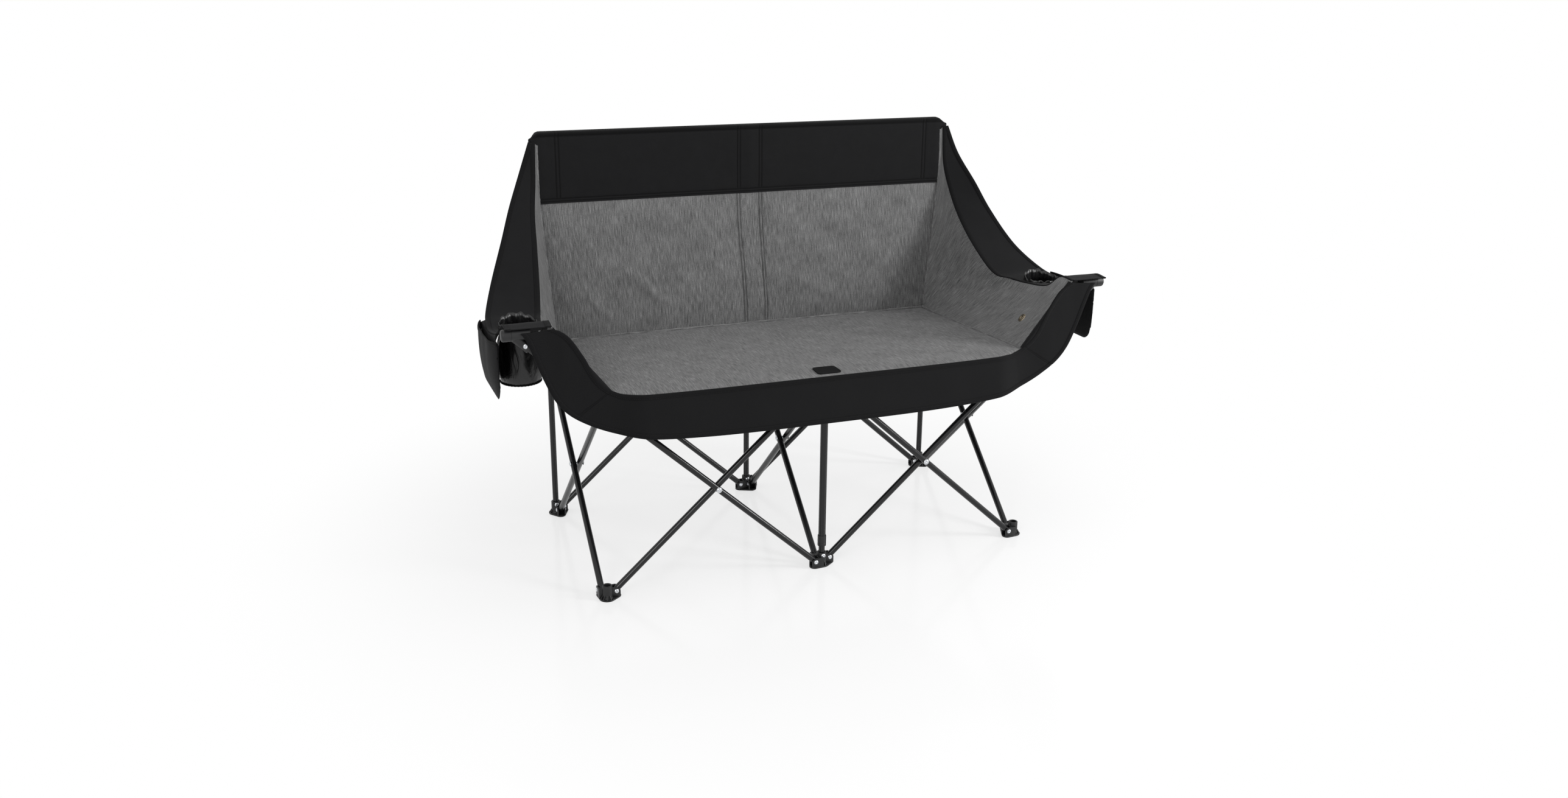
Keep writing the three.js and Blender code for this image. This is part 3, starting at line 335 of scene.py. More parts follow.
grey_melange = melange_polyester("grey_melange_polyester", "#4b4b4b", "#696969", "#8a8a8a")
black_oxford = oxford_polyester("black_oxford_polyester", "#0e0e0f", "#181819")
# A darker copy of the same cloth for the front band: painted shade
shaded_front_oxford = oxford_polyester("black_oxford_polyester_front_shade", "#0b0b0c", "#131314")
# Polyester twill tape, narrow woven: closer and darker than the cloth that it binds
black_tape = oxford_polyester("black_twill_tape", "#070708", "#0f0f10")
black_taffeta = nylon_taffeta("black_nylon_taffeta", "#050506", "#0d0d0e")
# Powder coat, sprayed and baked: a semi-gloss skin with a slight orange peel
powder_coat = coated("black_powder_coat", "#08080a", "#0e0e0f", 0.9, 0.22, 0.1, 0.4)
# Glass-filled nylon, injection moulded: a satin skin with the fine grit of the mould
moulded_nylon = coated("moulded_black_nylon", "#111112", "#19191a", 0.5, 0.45, 0.25, 0.4)
# Silicone rubber, compression moulded: matt and a little dusty
moulded_rubber = coated("moulded_black_rubber", "#0a0a0b", "#121213", 0.35, 0.75, 0.3, 0.12)
# Polyester sewing thread, twisted: a dull sheen along each stitch
black_thread = coated("black_sewing_thread", "#0c0c0d", "#1c1c1d", 0.4, 0.6, 0.5, 0.3)
grey_thread = coated("grey_sewing_thread", "#4e4e4e", "#676767", 0.4, 0.65, 0.5, 0.3)
# Steel, zinc plated and tumbled: bright with a soft highlight
zinc_steel = plated("zinc_plated_steel", "#b4b7bb", "#dcdee1", 0.2, 0.36)
# Brass, antiqued and lacquered: dark in the low places and warm on the rims
antique_brass = plated("antique_brass", "#5d554a", "#a79b86", 0.28, 0.5)

# The slot that each finish fills
slots = {
    "grey_cloth": (grey_melange, grey_thread), "black_cloth": (black_oxford, shaded_front_oxford, black_tape, black_thread),
    "nylon": (black_taffeta,), "powder_coat": (powder_coat,), "plastic": (moulded_nylon,),
    "patch_rubber": (moulded_rubber,), "steel": (zinc_steel,), "brass": (antique_brass,),
}
slot_of = {finish.name: slot for slot, finishes in slots.items() for finish in finishes}


# Forms: points in millimetres in the design's frame, and faces

def merged(*forms):
    points, faces = [], []
    for form_points, form_faces in forms:
        start = sum(len(p) for p in points)
        points.append(np.asarray(form_points, float))
        faces += [tuple(i + start for i in face) for face in form_faces]
    return np.concatenate(points), faces


def placed(form, matrix):
    points, faces = form
    m = np.array(matrix)
    return np.asarray(points, float) @ m[:3, :3].T + m[:3, 3], faces


def spun(form, angle):
    return placed(form, Matrix.Rotation(angle, 4, "Z"))


def moved(form, x=0, y=0, z=0):
    return np.asarray(form[0], float) + np.array([x, y, z]), form[1]


def turned(outline, sides=40, start=0.0, wave=None):
    """An outline of radius and height turned about Z. One that ends where it starts closes on itself."""
    turn = start + np.arange(sides) * 2 * math.pi / sides
    points, rows, faces = [], [], []
    for radius, z in outline:
        if rows and (radius, z) == outline[0]:
            rows.append(rows[0])
        elif radius == 0:
            rows.append([len(points)] * sides)
            points.append((0, 0, z))
        else:
            wide, high = wave(radius, z, turn) if wave else (0, 0)
            rows.append(list(range(len(points), len(points) + sides)))
            points += np.column_stack([(radius + wide) * np.cos(turn), (radius + wide) * np.sin(turn),
                                       np.broadcast_to(z + high, turn.shape)]).tolist()
    for low, high in zip(rows, rows[1:]):
        for i in range(sides):
            j = (i + 1) % sides
            faces.append(tuple(dict.fromkeys((low[i], low[j], high[j], high[i]))))
    return np.array(points, float), faces


def stacked(loops):
    """Loops of as many points each, joined side by side and closed at both ends."""
    count = len(loops[0])
    faces = [tuple(reversed(range(count))), tuple(range(count * (len(loops) - 1), count * len(loops)))]
    for k in range(len(loops) - 1):
        for i in range(count):
            j = (i + 1) % count
            faces.append((k * count + i, k * count + j, (k + 1) * count + j, (k + 1) * count + i))
    return np.concatenate([np.asarray(loop, float) for loop in loops]), faces


def arc(centre, radius, start, end, steps):
    angles = np.linspace(start, end, steps + 1)
    return [(centre[0] + radius * math.cos(a), centre[1] + radius * math.sin(a)) for a in angles]


def inset(outline, by):
    """A closed outline drawn in from its edge, or out where by is negative. It runs counter-clockwise."""
    p = np.asarray(outline, float)
    ahead, behind = np.roll(p, -1, 0) - p, p - np.roll(p, 1, 0)
    normals = [np.stack([-e[:, 1], e[:, 0]], 1) / np.linalg.norm(e, axis=1)[:, None] for e in (behind, ahead)]
    middle = normals[0] + normals[1]
    return p + by * 2 * middle / (middle ** 2).sum(1)[:, None]


def plate(outline, low, high, edge=0.8):
    """An outline in X-Z drawn out along Y, with its edges rounded over."""
    steps = [(low, edge), (low + edge * 0.3, edge * 0.3), (low + edge, 0), (high - edge, 0),
             (high - edge * 0.3, edge * 0.3), (high, edge)]
    loops = []
    for y, drawn_in in steps:
        flat = inset(outline, drawn_in)
        loops.append(np.stack([flat[:, 0], np.full(len(flat), y), flat[:, 1]], 1))
    return stacked(loops)


def layered(outline, levels):
    """An outline in plan stacked at levels, each a height and how far it is drawn in."""
    return stacked([np.column_stack([inset(outline, drawn_in), np.full(len(outline), z)])
                    for z, drawn_in in levels])


def along(start, end):
    """The frame whose Z runs from start to end."""
    start, end = Vector(start), Vector(end)
    return Matrix.Translation(start) @ (end - start).to_track_quat("Z", "Y").to_matrix().to_4x4()


def hull(circles, sides=28):
    points = sorted({(round(x + r * math.cos(a), 4), round(y + r * math.sin(a), 4))
                     for x, y, r in circles for a in np.arange(sides) * 2 * math.pi / sides})

    def chain(rows):
        found = []
        for p in rows:
            while len(found) > 1 and ((found[-1][0] - found[-2][0]) * (p[1] - found[-2][1])
                                      - (found[-1][1] - found[-2][1]) * (p[0] - found[-2][0])) <= 1e-3:
                found.pop()
            found.append(p)
        return found[:-1]
    return chain(points) + chain(points[::-1])


def piece(name, form, finish, body, stands_for=(), uv=None, crisp=None, slot=None):
    """Makes a piece from a form, gives it its finish, and sets it on its body. The slot argument is not used."""
    points, faces = form
    slot = slot or slot_of[finish.name]
    mesh = bpy.data.meshes.new(name)
    mesh.from_pydata((np.asarray(points) * MM + SHIFT).tolist(), [], faces)
    if uv is not None:
        corners = np.empty(len(mesh.loops), int)
        mesh.loops.foreach_get("vertex_index", corners)
        mesh.uv_layers.new(name="cloth").data.foreach_set("uv", np.asarray(uv, np.float32)[corners].ravel())
    shell = bmesh.new()
    shell.from_mesh(mesh)
    bmesh.ops.recalc_face_normals(shell, faces=shell.faces)
    shell.to_mesh(mesh)
    shell.free()
    mesh.polygons.foreach_set("use_smooth", [True] * len(mesh.polygons))
    if crisp:
        mesh.set_sharp_from_angle(angle=math.radians(crisp))
    mesh.materials.append(finish)
    made = bpy.data.objects.new(name, mesh)
    scene.collection.objects.link(made)
    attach(made, body)
    if stands_for:
        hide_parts(*stands_for)
    return made


# Frame: rivets, tubes, feet, hubs, posts

HEAD = [(0, 1.1), (1.1, 1.1), (1.5, 1.55), (2.1, HEAD_HEIGHT), (3.2, 1.6), (4.3, 1.0), (HEAD_RADIUS, 0.3),
        (HEAD_RADIUS, -0.4), (0, -0.4)]


def along_y(x, y, z):
    """The frame at a place whose Z lies along the row frame's Y."""
    return Matrix.Translation((x, y, z)) @ Matrix.Rotation(math.pi / 2, 4, "X")


def rivet(x, z, y, half):
    """A semi-tubular rivet along Y: a shank and a domed head with a dimple at each end."""
    shank = turned([(0, -half), (PIN_RADIUS, -half), (PIN_RADIUS, half), (0, half)], 16)
    head = moved(turned(HEAD[::-1], 24), z=half)
    return placed(merged(shank, head, placed(head, Matrix.Rotation(math.pi, 4, "X"))), along_y(x, y, z))


def tube_form(length, far_is_round, sides=36):
    """A scissor tube along X. Its ends are rounded about their pins, so it can turn in a fork."""
    turn = np.arange(sides) * 2 * math.pi / sides
    ring = np.stack([np.cos(turn), np.sin(turn)], 1) * TUBE_RADIUS
    ends = [-TUBE_RADIUS * math.cos(a) for a in np.linspace(0.05, math.pi / 2, 9)]
    places = ends + [length - x for x in ends[::-1]] if far_is_round else ends + [length - 0.6, length]
    loops = []
    for x in places:
        past = -x if x < 0 else (x - length if far_is_round and x > length else 0)
        room = math.sqrt(max(TUBE_RADIUS ** 2 - past ** 2, 0.01))
        scale = 0.94 if not far_is_round and x == length else 1
        loops.append(np.column_stack([np.full(sides, x), ring[:, 0] * scale,
                                      np.clip(ring[:, 1], -room, room) * scale]))
    return stacked(loops)


def heading(start, end):
    (ax, ay), (bx, by) = stations[start], stations[end]
    return math.atan2(by - ay, bx - ax)


def station_frame(name, angle=0.0):
    return Matrix.Translation((*stations[name], 0)) @ Matrix.Rotation(angle, 4, "Z")


def pin_frame(start, end, level=False):
    tilt = Matrix.Identity(4) if level else Matrix.Rotation(-OPEN, 4, "Y")
    return station_frame(start, heading(start, end)) @ Matrix.Translation((PIN_INSET, LAYER, FOOT_PIN)) @ tilt


tube_plan = {
    "tube_back_left_a": ("back_left", "back_centre", "back_tube_left_a"),
    "tube_back_left_b": ("back_centre", "back_left", "back_tube_left_b"),
    "tube_back_right_a": ("back_right", "back_centre", "back_tube_right_a"),
    "tube_back_right_b": ("back_centre", "back_right", "back_tube_right_b"),
    "tube_side_left_a": ("back_left", "front_left", "side_tube_left_a"),
    "tube_side_left_b": ("front_left", "back_left", "side_tube_left_b"),
    "tube_side_right_a": ("back_right", "front_right", "side_tube_right_a"),
    "tube_side_right_b": ("front_right", "back_right", "side_tube_right_b"),
    "tube_middle_a": ("back_centre", "front_centre", "middle_tube_a"),
    "tube_middle_b": ("front_centre", "back_centre", "middle_tube_b"),
    "tube_arm_left": ("front_centre", "front_left", "arm_tube_left"),
    "tube_front_left": ("front_left", "front_centre", "front_tube_left"),
    "tube_arm_right": ("front_centre", "front_right", "arm_tube_right"),
    "tube_front_right": ("front_right", "front_centre", "front_tube_right"),
}
for name, (start, end, body) in tube_plan.items():
    on_arm = name.startswith("tube_arm")
    form = tube_form(TUBE_LENGTH_ON_ARM if on_arm else PIN_SPAN, not on_arm)
    piece(name + "_coated", placed(form, pin_frame(start, end)), powder_coat, body, [name], crisp=50)

pivots = {
    "pivot_back_left": "tube_back_left_b", "pivot_back_right": "tube_back_right_b",
    "pivot_side_left": "tube_side_left_a", "pivot_side_right": "tube_side_right_a",
    "pivot_middle": "tube_middle_a", "pivot_front_left": "tube_arm_left", "pivot_front_right": "tube_arm_right",
}
for name, tube in pivots.items():
    start, end, body = tube_plan[tube]
    near = TUBE_RADIUS + 0.4
    crossing = rivet(PIN_SPAN / 2, 0, -LAYER, near + LAYER)
    washers = [placed(turned([(2.6, -0.5), (6.4, -0.5), (6.4, 0.3), (2.6, 0.3)], 28),
                      along_y(PIN_SPAN / 2, y, 0))
               for y in (near - 0.1, -near - 2 * LAYER + 0.1)]
    piece(name + "_rivet", placed(merged(crossing, *washers), pin_frame(start, end)), zinc_steel, body, [name],
          crisp=35)


def fork_form(pin_height, base, top, side, below, core):
    """Two lugs and the web that joins them to a core of that radius. X points away from the station."""
    y = side * LAYER
    reach = arc((PIN_INSET, pin_height), LUG_RADIUS, -math.pi / 2 if below else 0, math.pi / 2, 14)
    tail = [] if below else [(PIN_INSET + LUG_RADIUS, base)]
    lugs = []
    for low, high in ((y - FORK_HALF, y - SLOT_HALF), (y + SLOT_HALF, y + FORK_HALF)):
        beyond = abs(low + high) / 2 > core
        root = 1.0 if beyond else core * 0.82
        lugs.append(plate([(root, base), *tail, *reach, (root, top)], low, high))
    wall = core * 0.84
    far = PIN_INSET - SLOT_HALF
    inner = arc((0, 0), wall, 0, math.pi / 2, 8) if side > 0 else arc((0, 0), wall, -math.pi / 2, 0, 8)
    if side > 0:
        web = [(far, -FORK_HALF + y + 0.4), (far, y + FORK_HALF - 0.4), (1, y + FORK_HALF - 0.4), *inner[::-1]]
    else:
        web = [*inner[::-1], (1, y - FORK_HALF + 0.4), (far, y - FORK_HALF + 0.4), (far, y + FORK_HALF - 0.4)]
    levels = [(base + 0.4, 0.5), (base + 0.9, 0), (top - 0.9, 0), (top - 0.4, 0.5)]
    return merged(*lugs, layered(web, levels)), rivet(PIN_INSET, pin_height, y, FORK_HALF)


def forked_pieces(node, station, body, plain, forks, more_rivets=()):
    """A moulding with its forks, each turned to its tube's way, and a second piece for all their rivets."""
    here = station_frame(station)
    plastic = [spun(form, a) for a, (form, _) in forks]
    rivets = [spun(pin, a) for a, (_, pin) in forks]
    piece(node + "_moulded", placed(merged(*plain, *plastic), here), moulded_nylon, body, [node], crisp=35)
    piece(node + "_rivets", placed(merged(*rivets, *more_rivets), here), zinc_steel, body, crisp=35)


def make_foot(station, body):
    starts = [heading(station, end) for begin, end, _ in tube_plan.values() if begin == station]
    circles = [(PIN_INSET * math.cos(a) - LAYER * math.sin(a), PIN_INSET * math.sin(a) + LAYER * math.cos(a),
                FLANGE_MARGIN) for a in starts]
    outline = hull([(0, 0, FLANGE_RADIUS), *circles])
    sole = layered(outline, [(0, 1.6), (0.4, 0.9), (1.0, 0.4), (1.5, 0.9), (1.7, 1.1)])
    flange = layered(outline, [(1.6, 0.6), (2.0, 0), (3.0, 0), (3.6, 0.4), (4.0, 1.2)])
    tower = turned([
        (0, FLANGE - 0.5), (TOWER_RADIUS + 2.6, FLANGE - 0.5), (TOWER_RADIUS + 1.2, FLANGE + 0.5),
        (TOWER_RADIUS + 0.3, FLANGE + 2), (TOWER_RADIUS, FLANGE + 4), (TOWER_RADIUS, TOWER_TOP - 1.4),
        (TOWER_RADIUS - 0.4, TOWER_TOP - 0.4), (TOWER_RADIUS - 1.3, TOWER_TOP), (SOCKET_RADIUS + 0.7, TOWER_TOP),
        (SOCKET_RADIUS, TOWER_TOP - 0.8), (SOCKET_RADIUS, SOCKET_FLOOR), (0, SOCKET_FLOOR)])
    ribs = []
    for k in range(12):
        angle = k * math.pi / 6 + math.pi / 12
        if all(math.cos(angle - a - 0.35) < 0.3 for a in starts):
            rib = plate([(TOWER_RADIUS - 1, FLANGE - 0.5), (FLANGE_RADIUS - 1.4, FLANGE - 0.5),
                         (TOWER_RADIUS + 1.6, FLANGE + 7), (TOWER_RADIUS - 1, FLANGE + 10)], -0.9, 0.9, 0.4)
            ribs.append(spun(rib, angle))
    forks = [(a, fork_form(FOOT_PIN, FLANGE - 1, FOOT_PIN + LUG_RADIUS, 1, False, TOWER_RADIUS)) for a in starts]
    has_post = station not in ("front_left", "front_right")
    forked_pieces("foot_" + station, station, body, [sole, flange, tower, *ribs], forks,
                  [rivet(0, POST_RIVET, 0, TOWER_RADIUS - 0.2)] if has_post else [])


def make_hub(node, station, body, bore):
    ends = [(heading(station, begin), name.startswith("tube_arm"))
            for name, (begin, end, _) in tube_plan.items() if end == station]
    low, high = HUB_PIN - HUB_HALF, HUB_PIN + HUB_HALF
    core = turned([
        (bore, low + 0.6), (bore + 0.6, low), (HUB_RADIUS - 1.2, low), (HUB_RADIUS - 0.3, low + 0.4),
        (HUB_RADIUS, low + 1.3), (HUB_RADIUS, high - 1.3), (HUB_RADIUS - 0.3, high - 0.4),
        (HUB_RADIUS - 1.2, high), (bore + 0.6, high), (bore, high - 0.6), (bore, low + 0.6)], 44)
    forked_pieces(node, station, body, [core],
                  [(a, fork_form(HUB_PIN, low, high, -1, not runs_on, HUB_RADIUS)) for a, runs_on in ends])


feet = {"front_left": "front_foot_left", "front_centre": "front_foot", "front_right": "front_foot_right",
        "back_left": "back_foot_left", "back_centre": "base", "back_right": "back_foot_right"}
for station, body in feet.items():
    make_foot(station, body)
for kind, row, bore, bodies in (
        ("hub_", "front_", UPPER_POST_RADIUS + 0.3, ("front_hub_left", "seat_hub", "front_hub_right")),
        ("slider_", "back_", TUBE_RADIUS + 0.4, ("back_slider_left", "back_slider", "back_slider_right"))):
    for side_name, body in zip(("left", "centre", "right"), bodies):
        make_hub(kind + row + side_name, row + side_name, body, bore)


def post_outline(radius, low, high, domed):
    if domed:
        cap = [(radius + 0.7, high - 9), (radius + 0.7, high - 5)]
        dome = [(radius * math.cos(a) * 1.08, high - 4.2 + 4.2 * math.sin(a)) for a in np.linspace(0, 1.45, 8)]
        return [(0, low), (radius, low), (radius, high - 9), *cap, *dome, (0, high)]
    wall = 0.9
    return [(radius - wall, low), (radius, low), (radius, high), (radius - wall, high), (radius - wall, low)]


for station in ("back_left", "back_centre", "back_right"):
    form = turned(post_outline(TUBE_RADIUS, SOCKET_FLOOR + 0.3, POST_TOP, True))
    piece(f"post_{station}_coated", placed(form, station_frame(station)), powder_coat, feet[station],
          [f"post_{station}"], crisp=40)
centre = station_frame("front_centre")
piece("post_front_lower_coated", placed(turned(post_outline(TUBE_RADIUS, 8.3, 396, False)), centre), powder_coat,
      "front_foot", ["post_front_lower"], crisp=40)
piece("post_front_upper_coated", placed(turned(post_outline(UPPER_POST_RADIUS, 60.3, 438, False)), centre),
      powder_coat, "seat_hub", ["post_front_upper"], crisp=40)
collar = turned([(7.3, 48), (8.9, 48), (9.6, 48.6), (9.75, 49.6), (9.75, 55), (9.3, 55.6), (9.3, 56.4), (9.75, 57),
                 (9.75, 72.6), (9.4, 73.7), (8.6, 74), (8.55, 60), (7.3, 60), (7.3, 48)])
piece("post_front_collar_moulded", placed(collar, centre), moulded_nylon, "seat_hub", ["post_front_collar"], crisp=35)

for side_name in ("left", "right"):
    tube = Vector((math.cos(OPEN), 0, math.sin(OPEN)))
    tip_frame = pin_frame("front_centre", "front_" + side_name, level=True) @ Matrix.Translation(
        (TIP[0] - PIN_INSET, 0, TIP[1] - FOOT_PIN))
    sleeve = placed(turned([
        (SOCKET_RADIUS, 0.6), (SOCKET_RADIUS + 0.6, 0), (SLEEVE_RADIUS - 0.7, 0), (SLEEVE_RADIUS + 0.4, 0.7),
        (SLEEVE_RADIUS + 0.4, 4), (SLEEVE_RADIUS, 4.8), (SLEEVE_RADIUS, SLEEVE_LENGTH), (0, SLEEVE_LENGTH),
        (0, SLEEVE_LENGTH - 9), (SOCKET_RADIUS, SLEEVE_LENGTH - 9), (SOCKET_RADIUS, 0.6)]),
        along(-tube * SLEEVE_LENGTH, (0, 0, 0)))
    dome = [(BARREL_RADIUS * math.cos(a) ** 0.5, BARREL_OUTER - 5 + 5 * math.sin(a))
            for a in np.linspace(0, 1.45, 9)]
    barrel = placed(turned([
        (0, -BARREL_INNER + 1.6), (BARREL_RADIUS - 3.2, -BARREL_INNER + 1.6), (BARREL_RADIUS - 2.6, -BARREL_INNER),
        (BARREL_RADIUS - 1.1, -BARREL_INNER), (BARREL_RADIUS - 0.2, -BARREL_INNER + 0.6),
        (BARREL_RADIUS, -BARREL_INNER + 1.6), (BARREL_RADIUS, 1.2), (BARREL_RADIUS - 0.5, 1.7),
        (BARREL_RADIUS - 0.5, 2.5), (BARREL_RADIUS, 3.0), *dome, (0, BARREL_OUTER)], 48),
        Matrix.Rotation(math.pi / 2, 4, "Y"))
    piece(f"arm_end_{side_name}_moulded", placed(merged(sleeve, barrel), tip_frame), moulded_nylon,
          f"arm_tube_{side_name}", [f"arm_end_{side_name}"], crisp=35)
    at = -tube * 34
    piece(f"arm_end_{side_name}_rivet", placed(rivet(at.x, at.z, 0, SLEEVE_RADIUS - 0.2), tip_frame), zinc_steel,
          f"arm_tube_{side_name}", crisp=35)


# Sling surfaces, as in the CAD source

def clamped(x, low, high):
    return np.minimum(np.maximum(x, low), high)


def eased_step(x, low, high):
    t = clamped((np.asarray(x, float) - low) / (high - low), 0, 1)
    return t * t * (3 - 2 * t)


def between(low, high, share):
    return low + (high - low) * share


def groove(distance, width=1.6):
    """A bell of height 1 whose flanks fall off over a width."""
    return np.exp(-(distance / width) ** 2)


def nearest(values, value):
    """The index of the value that lies nearest."""
    return int(np.argmin(np.abs(values - value)))


def evened(values, reach):
    """Each value as the mean of itself and that many neighbours on both sides."""
    return np.convolve(np.pad(values, reach, mode="edge"), np.ones(2 * reach + 1) / (2 * reach + 1), "valid")


def run_along(path):
    """How far each point of a path lies from its first, along it."""
    return np.concatenate([[0], np.cumsum(np.linalg.norm(np.diff(path, axis=0), axis=1))])


def places_of(mesh):
    places = np.empty(len(mesh.vertices) * 3, np.float32)
    mesh.vertices.foreach_get("co", places)
    return places.reshape(-1, 3)


def store(mesh, name, kind, field, values):
    """Stores a value for each point of a mesh under a name."""
    mesh.attributes.new(name, kind, "POINT").data.foreach_set(field, np.asarray(values, np.float32).ravel())


def seat_front_y(x):
    return NOSE_Y + (SEWN_FRONT_Y - NOSE_Y) * eased_step(np.abs(x), SEAT_HALF - CORNER_SWEEP, SEAT_HALF)


def seat_surface(x, v):
    y = seat_front_y(x) * (1 - v) + SEWN_REAR_Y * v
    side = np.abs(x) / SEAT_HALF
    z = SEAT_FRONT_Z * (1 - v) + SEAT_REAR_Z * v + CORNER_RISE * side ** 6 * (1 - v)
    z = z - SEAT_SAG * np.sin(math.pi * v) * (1 - side ** 2)
    return np.stack(np.broadcast_arrays(x, y, z), -1)


def back_edge_x(z):
    return 484 + 28 * clamped((z - BACK_LOW) / (BACK_HIGH - BACK_LOW), 0, 1)


def sling_points(rows):
    rows = np.asarray(rows, float)
    y = clamped(BAY / 2 * rows[:, 1], SEWN_FRONT_Y, SIDE_REAR_Y)
    z = TRAY_Z + rows[:, 2] * np.where(rows[:, 2] > 0, BACK_RISE, ARM_RISE)
    return np.column_stack([BAY + OVERHANG * rows[:, 0], y, z])


def flowing(points):
    """A smooth curve through points that never loops between them, by shares of the way from first to last."""
    p = np.asarray(points, float)
    full = np.vstack([2 * p[0] - p[1], p, 2 * p[-1] - p[-2]])

    def at(share):
        place = np.asarray(share, float) * (len(p) - 1)
        k = clamped(np.floor(place).astype(int), 0, len(p) - 2)
        t = (place - k)[:, None]
        a, b, c, d = (full[k + n] for n in range(4))
        ab, bc, cd = (np.sqrt(np.linalg.norm(q - r, axis=1))[:, None] for q, r in ((a, b), (b, c), (c, d)))
        first = ((b - a) / ab - (c - a) / (ab + bc) + (c - b) / bc) * bc
        last = ((c - b) / bc - (d - b) / (bc + cd) + (d - c) / cd) * bc
        return b + first * t + (3 * (c - b) - 2 * first - last) * t ** 2 + (2 * (b - c) + first + last) * t ** 3
    return at


def straight_runs(points):
    p = np.asarray(points, float)

    def at(share):
        place = np.asarray(share, float) * (len(p) - 1)
        k = clamped(np.floor(place).astype(int), 0, len(p) - 2)
        return p[k] + (p[k + 1] - p[k]) * (place - k)[:, None]
    return at


drops = [BAND_TOP + (BACK_LOW + PAD_EDGE - BAND_TOP) * s for s in (0.06, 0.3, 0.48, 0.73, 1)]
seat_runs = seat_surface(np.array(SEAT_HALF), 1 - np.array([0.223, 0.422, 0.641, 0.83, 0.912, 1]))
inner_edge = straight_runs([(float(back_edge_x(z)), SIDE_REAR_Y, z) for z in drops]
                           + [tuple(p + np.array([1.5, 0, 2])) for p in seat_runs])
seam_curve = flowing(sling_points([
    (0.099, 0.916, 0.927), (0.119, 0.9, 0.65), (0.169, 0.816, 0.44), (0.215, 0.624, 0.222), (0.294, 0.312, -0.014),
    (0.373, 0.048, -0.276), (0.435, -0.16, -0.276), (0.486, -0.4, -0.264), (0.52, -0.74, -0.18),
    (0.554, -0.904, 0), (0.571, -1.1, 0)]))
arm_edge = flowing(sling_points([
    (0.169, 0.916, 0.933), (0.316, 0.872, 0.72), (0.508, 0.72, 0.49), (0.65, 0.584, 0.296), (0.876, 0.32, 0.035),
    (1.04, -0.016, -0.214), (1.079, -0.192, -0.264), (1.107, -0.4, -0.276), (1.09, -0.74, -0.17),
    (1.073, -0.904, 0), (1.073, -1.1, 0)]))


def side_surface(u, v):
    inner, seam = inner_edge(u), seam_curve(u)
    width = np.linalg.norm(seam - inner, axis=1)
    share = v[:, None] * (width - SEAM_MARGIN) / width
    p = inner + (seam - inner) * share[..., None]
    out = SIDE_BULGE * np.sin(math.pi * v)[:, None] * np.sin(math.pi * u)
    p[..., 0] += out
    p[..., 2] -= out
    p[..., 1] = clamped(p[..., 1], SEWN_FRONT_Y, SIDE_REAR_Y)
    return p


def wing_surface(u, v):
    seam, edge = seam_curve(u), arm_edge(u)
    width = np.linalg.norm(edge - seam, axis=1)
    start = SEAM_MARGIN / width
    share = start + (1 - start) * v[:, None]
    p = seam + (edge - seam) * share[..., None]
    p[..., 1] = clamped(p[..., 1], SEWN_FRONT_Y, SIDE_REAR_Y)
    return p


def apron_curve(seat_rows, arm_rows):
    right = [(SEAT_HALF * a, 0, SEAT_FRONT_Z - APRON_DROP * b) for a, b in seat_rows]
    right += [(BAY + OVERHANG * a, 0, SEAT_FRONT_Z + ARM_RISE * b) for a, b in arm_rows]
    return flowing([(-x, 0, z) for x, _, z in right[:0:-1]] + right)


apron_top = apron_curve([(0, 0), (0.594, 0), (0.875, -0.02), (0.948, -0.04), (0.979, -0.08)],
                        [(-0.056, 0.12), (0.068, 0.26), (0.232, 0.6), (0.384, 0.85), (0.48, 0.93), (0.565, 0.965)])
apron_low = apron_curve([(0, 1), (0.594, 0.97), (0.875, 0.87), (0.99, 0.75), (1.104, 0.53)],
                        [(0.395, -0.17), (0.542, 0.02), (0.667, 0.31), (0.79, 0.68), (0.85, 0.85), (0.904, 0.945)])


def apron_surface(u, v):
    top, low = apron_top(u), apron_low(u)
    p = low + (top - low) * v[:, None, None]
    nose = 1 - eased_step(np.abs(top[:, 0]), SEAT_HALF - CORNER_SWEEP, SEAT_HALF)
    p[..., 1] = FLANK_Y + (NOSE_Y - 1.5 - FLANK_Y) * nose - APRON_LEAN * nose * (1 - v)[:, None]
    return p


# How cloth follows the frame: each point is held by some of the bodies, and the slack between them hangs

held_by = ["base", "seat_hub", "back_slider", "front_hub_left", "front_hub_right", "back_slider_left",
           "back_slider_right", "back_foot_left", "back_foot_right", "arm_tube_left", "arm_tube_right"]

# within these of a post or an arm's end, cloth keeps its place on it
POST_MARGIN = 24
REAR_MARGIN = 26
ARM_MARGIN = 215
# how far the slack goes when the frame is shut, in metres
NOSE_HANG, TUBE_HANG, SEAT_HANG, FLANK_HANG = 0.16, 0.01, 0.24, 0.05
NOSE_ZONE, MIDDLE_ZONE, REAR_ZONE = (-276, -262), (-120, -60), (130, 200)
BACK_FOLD = 0.045
FLANK_OUT, FLANK_IN, ARM_OUT, ARM_IN = 0.028, 0.022, 0.025, 0.07
REACH_BEND, REACH_CLIMB = 0.06, 1.8


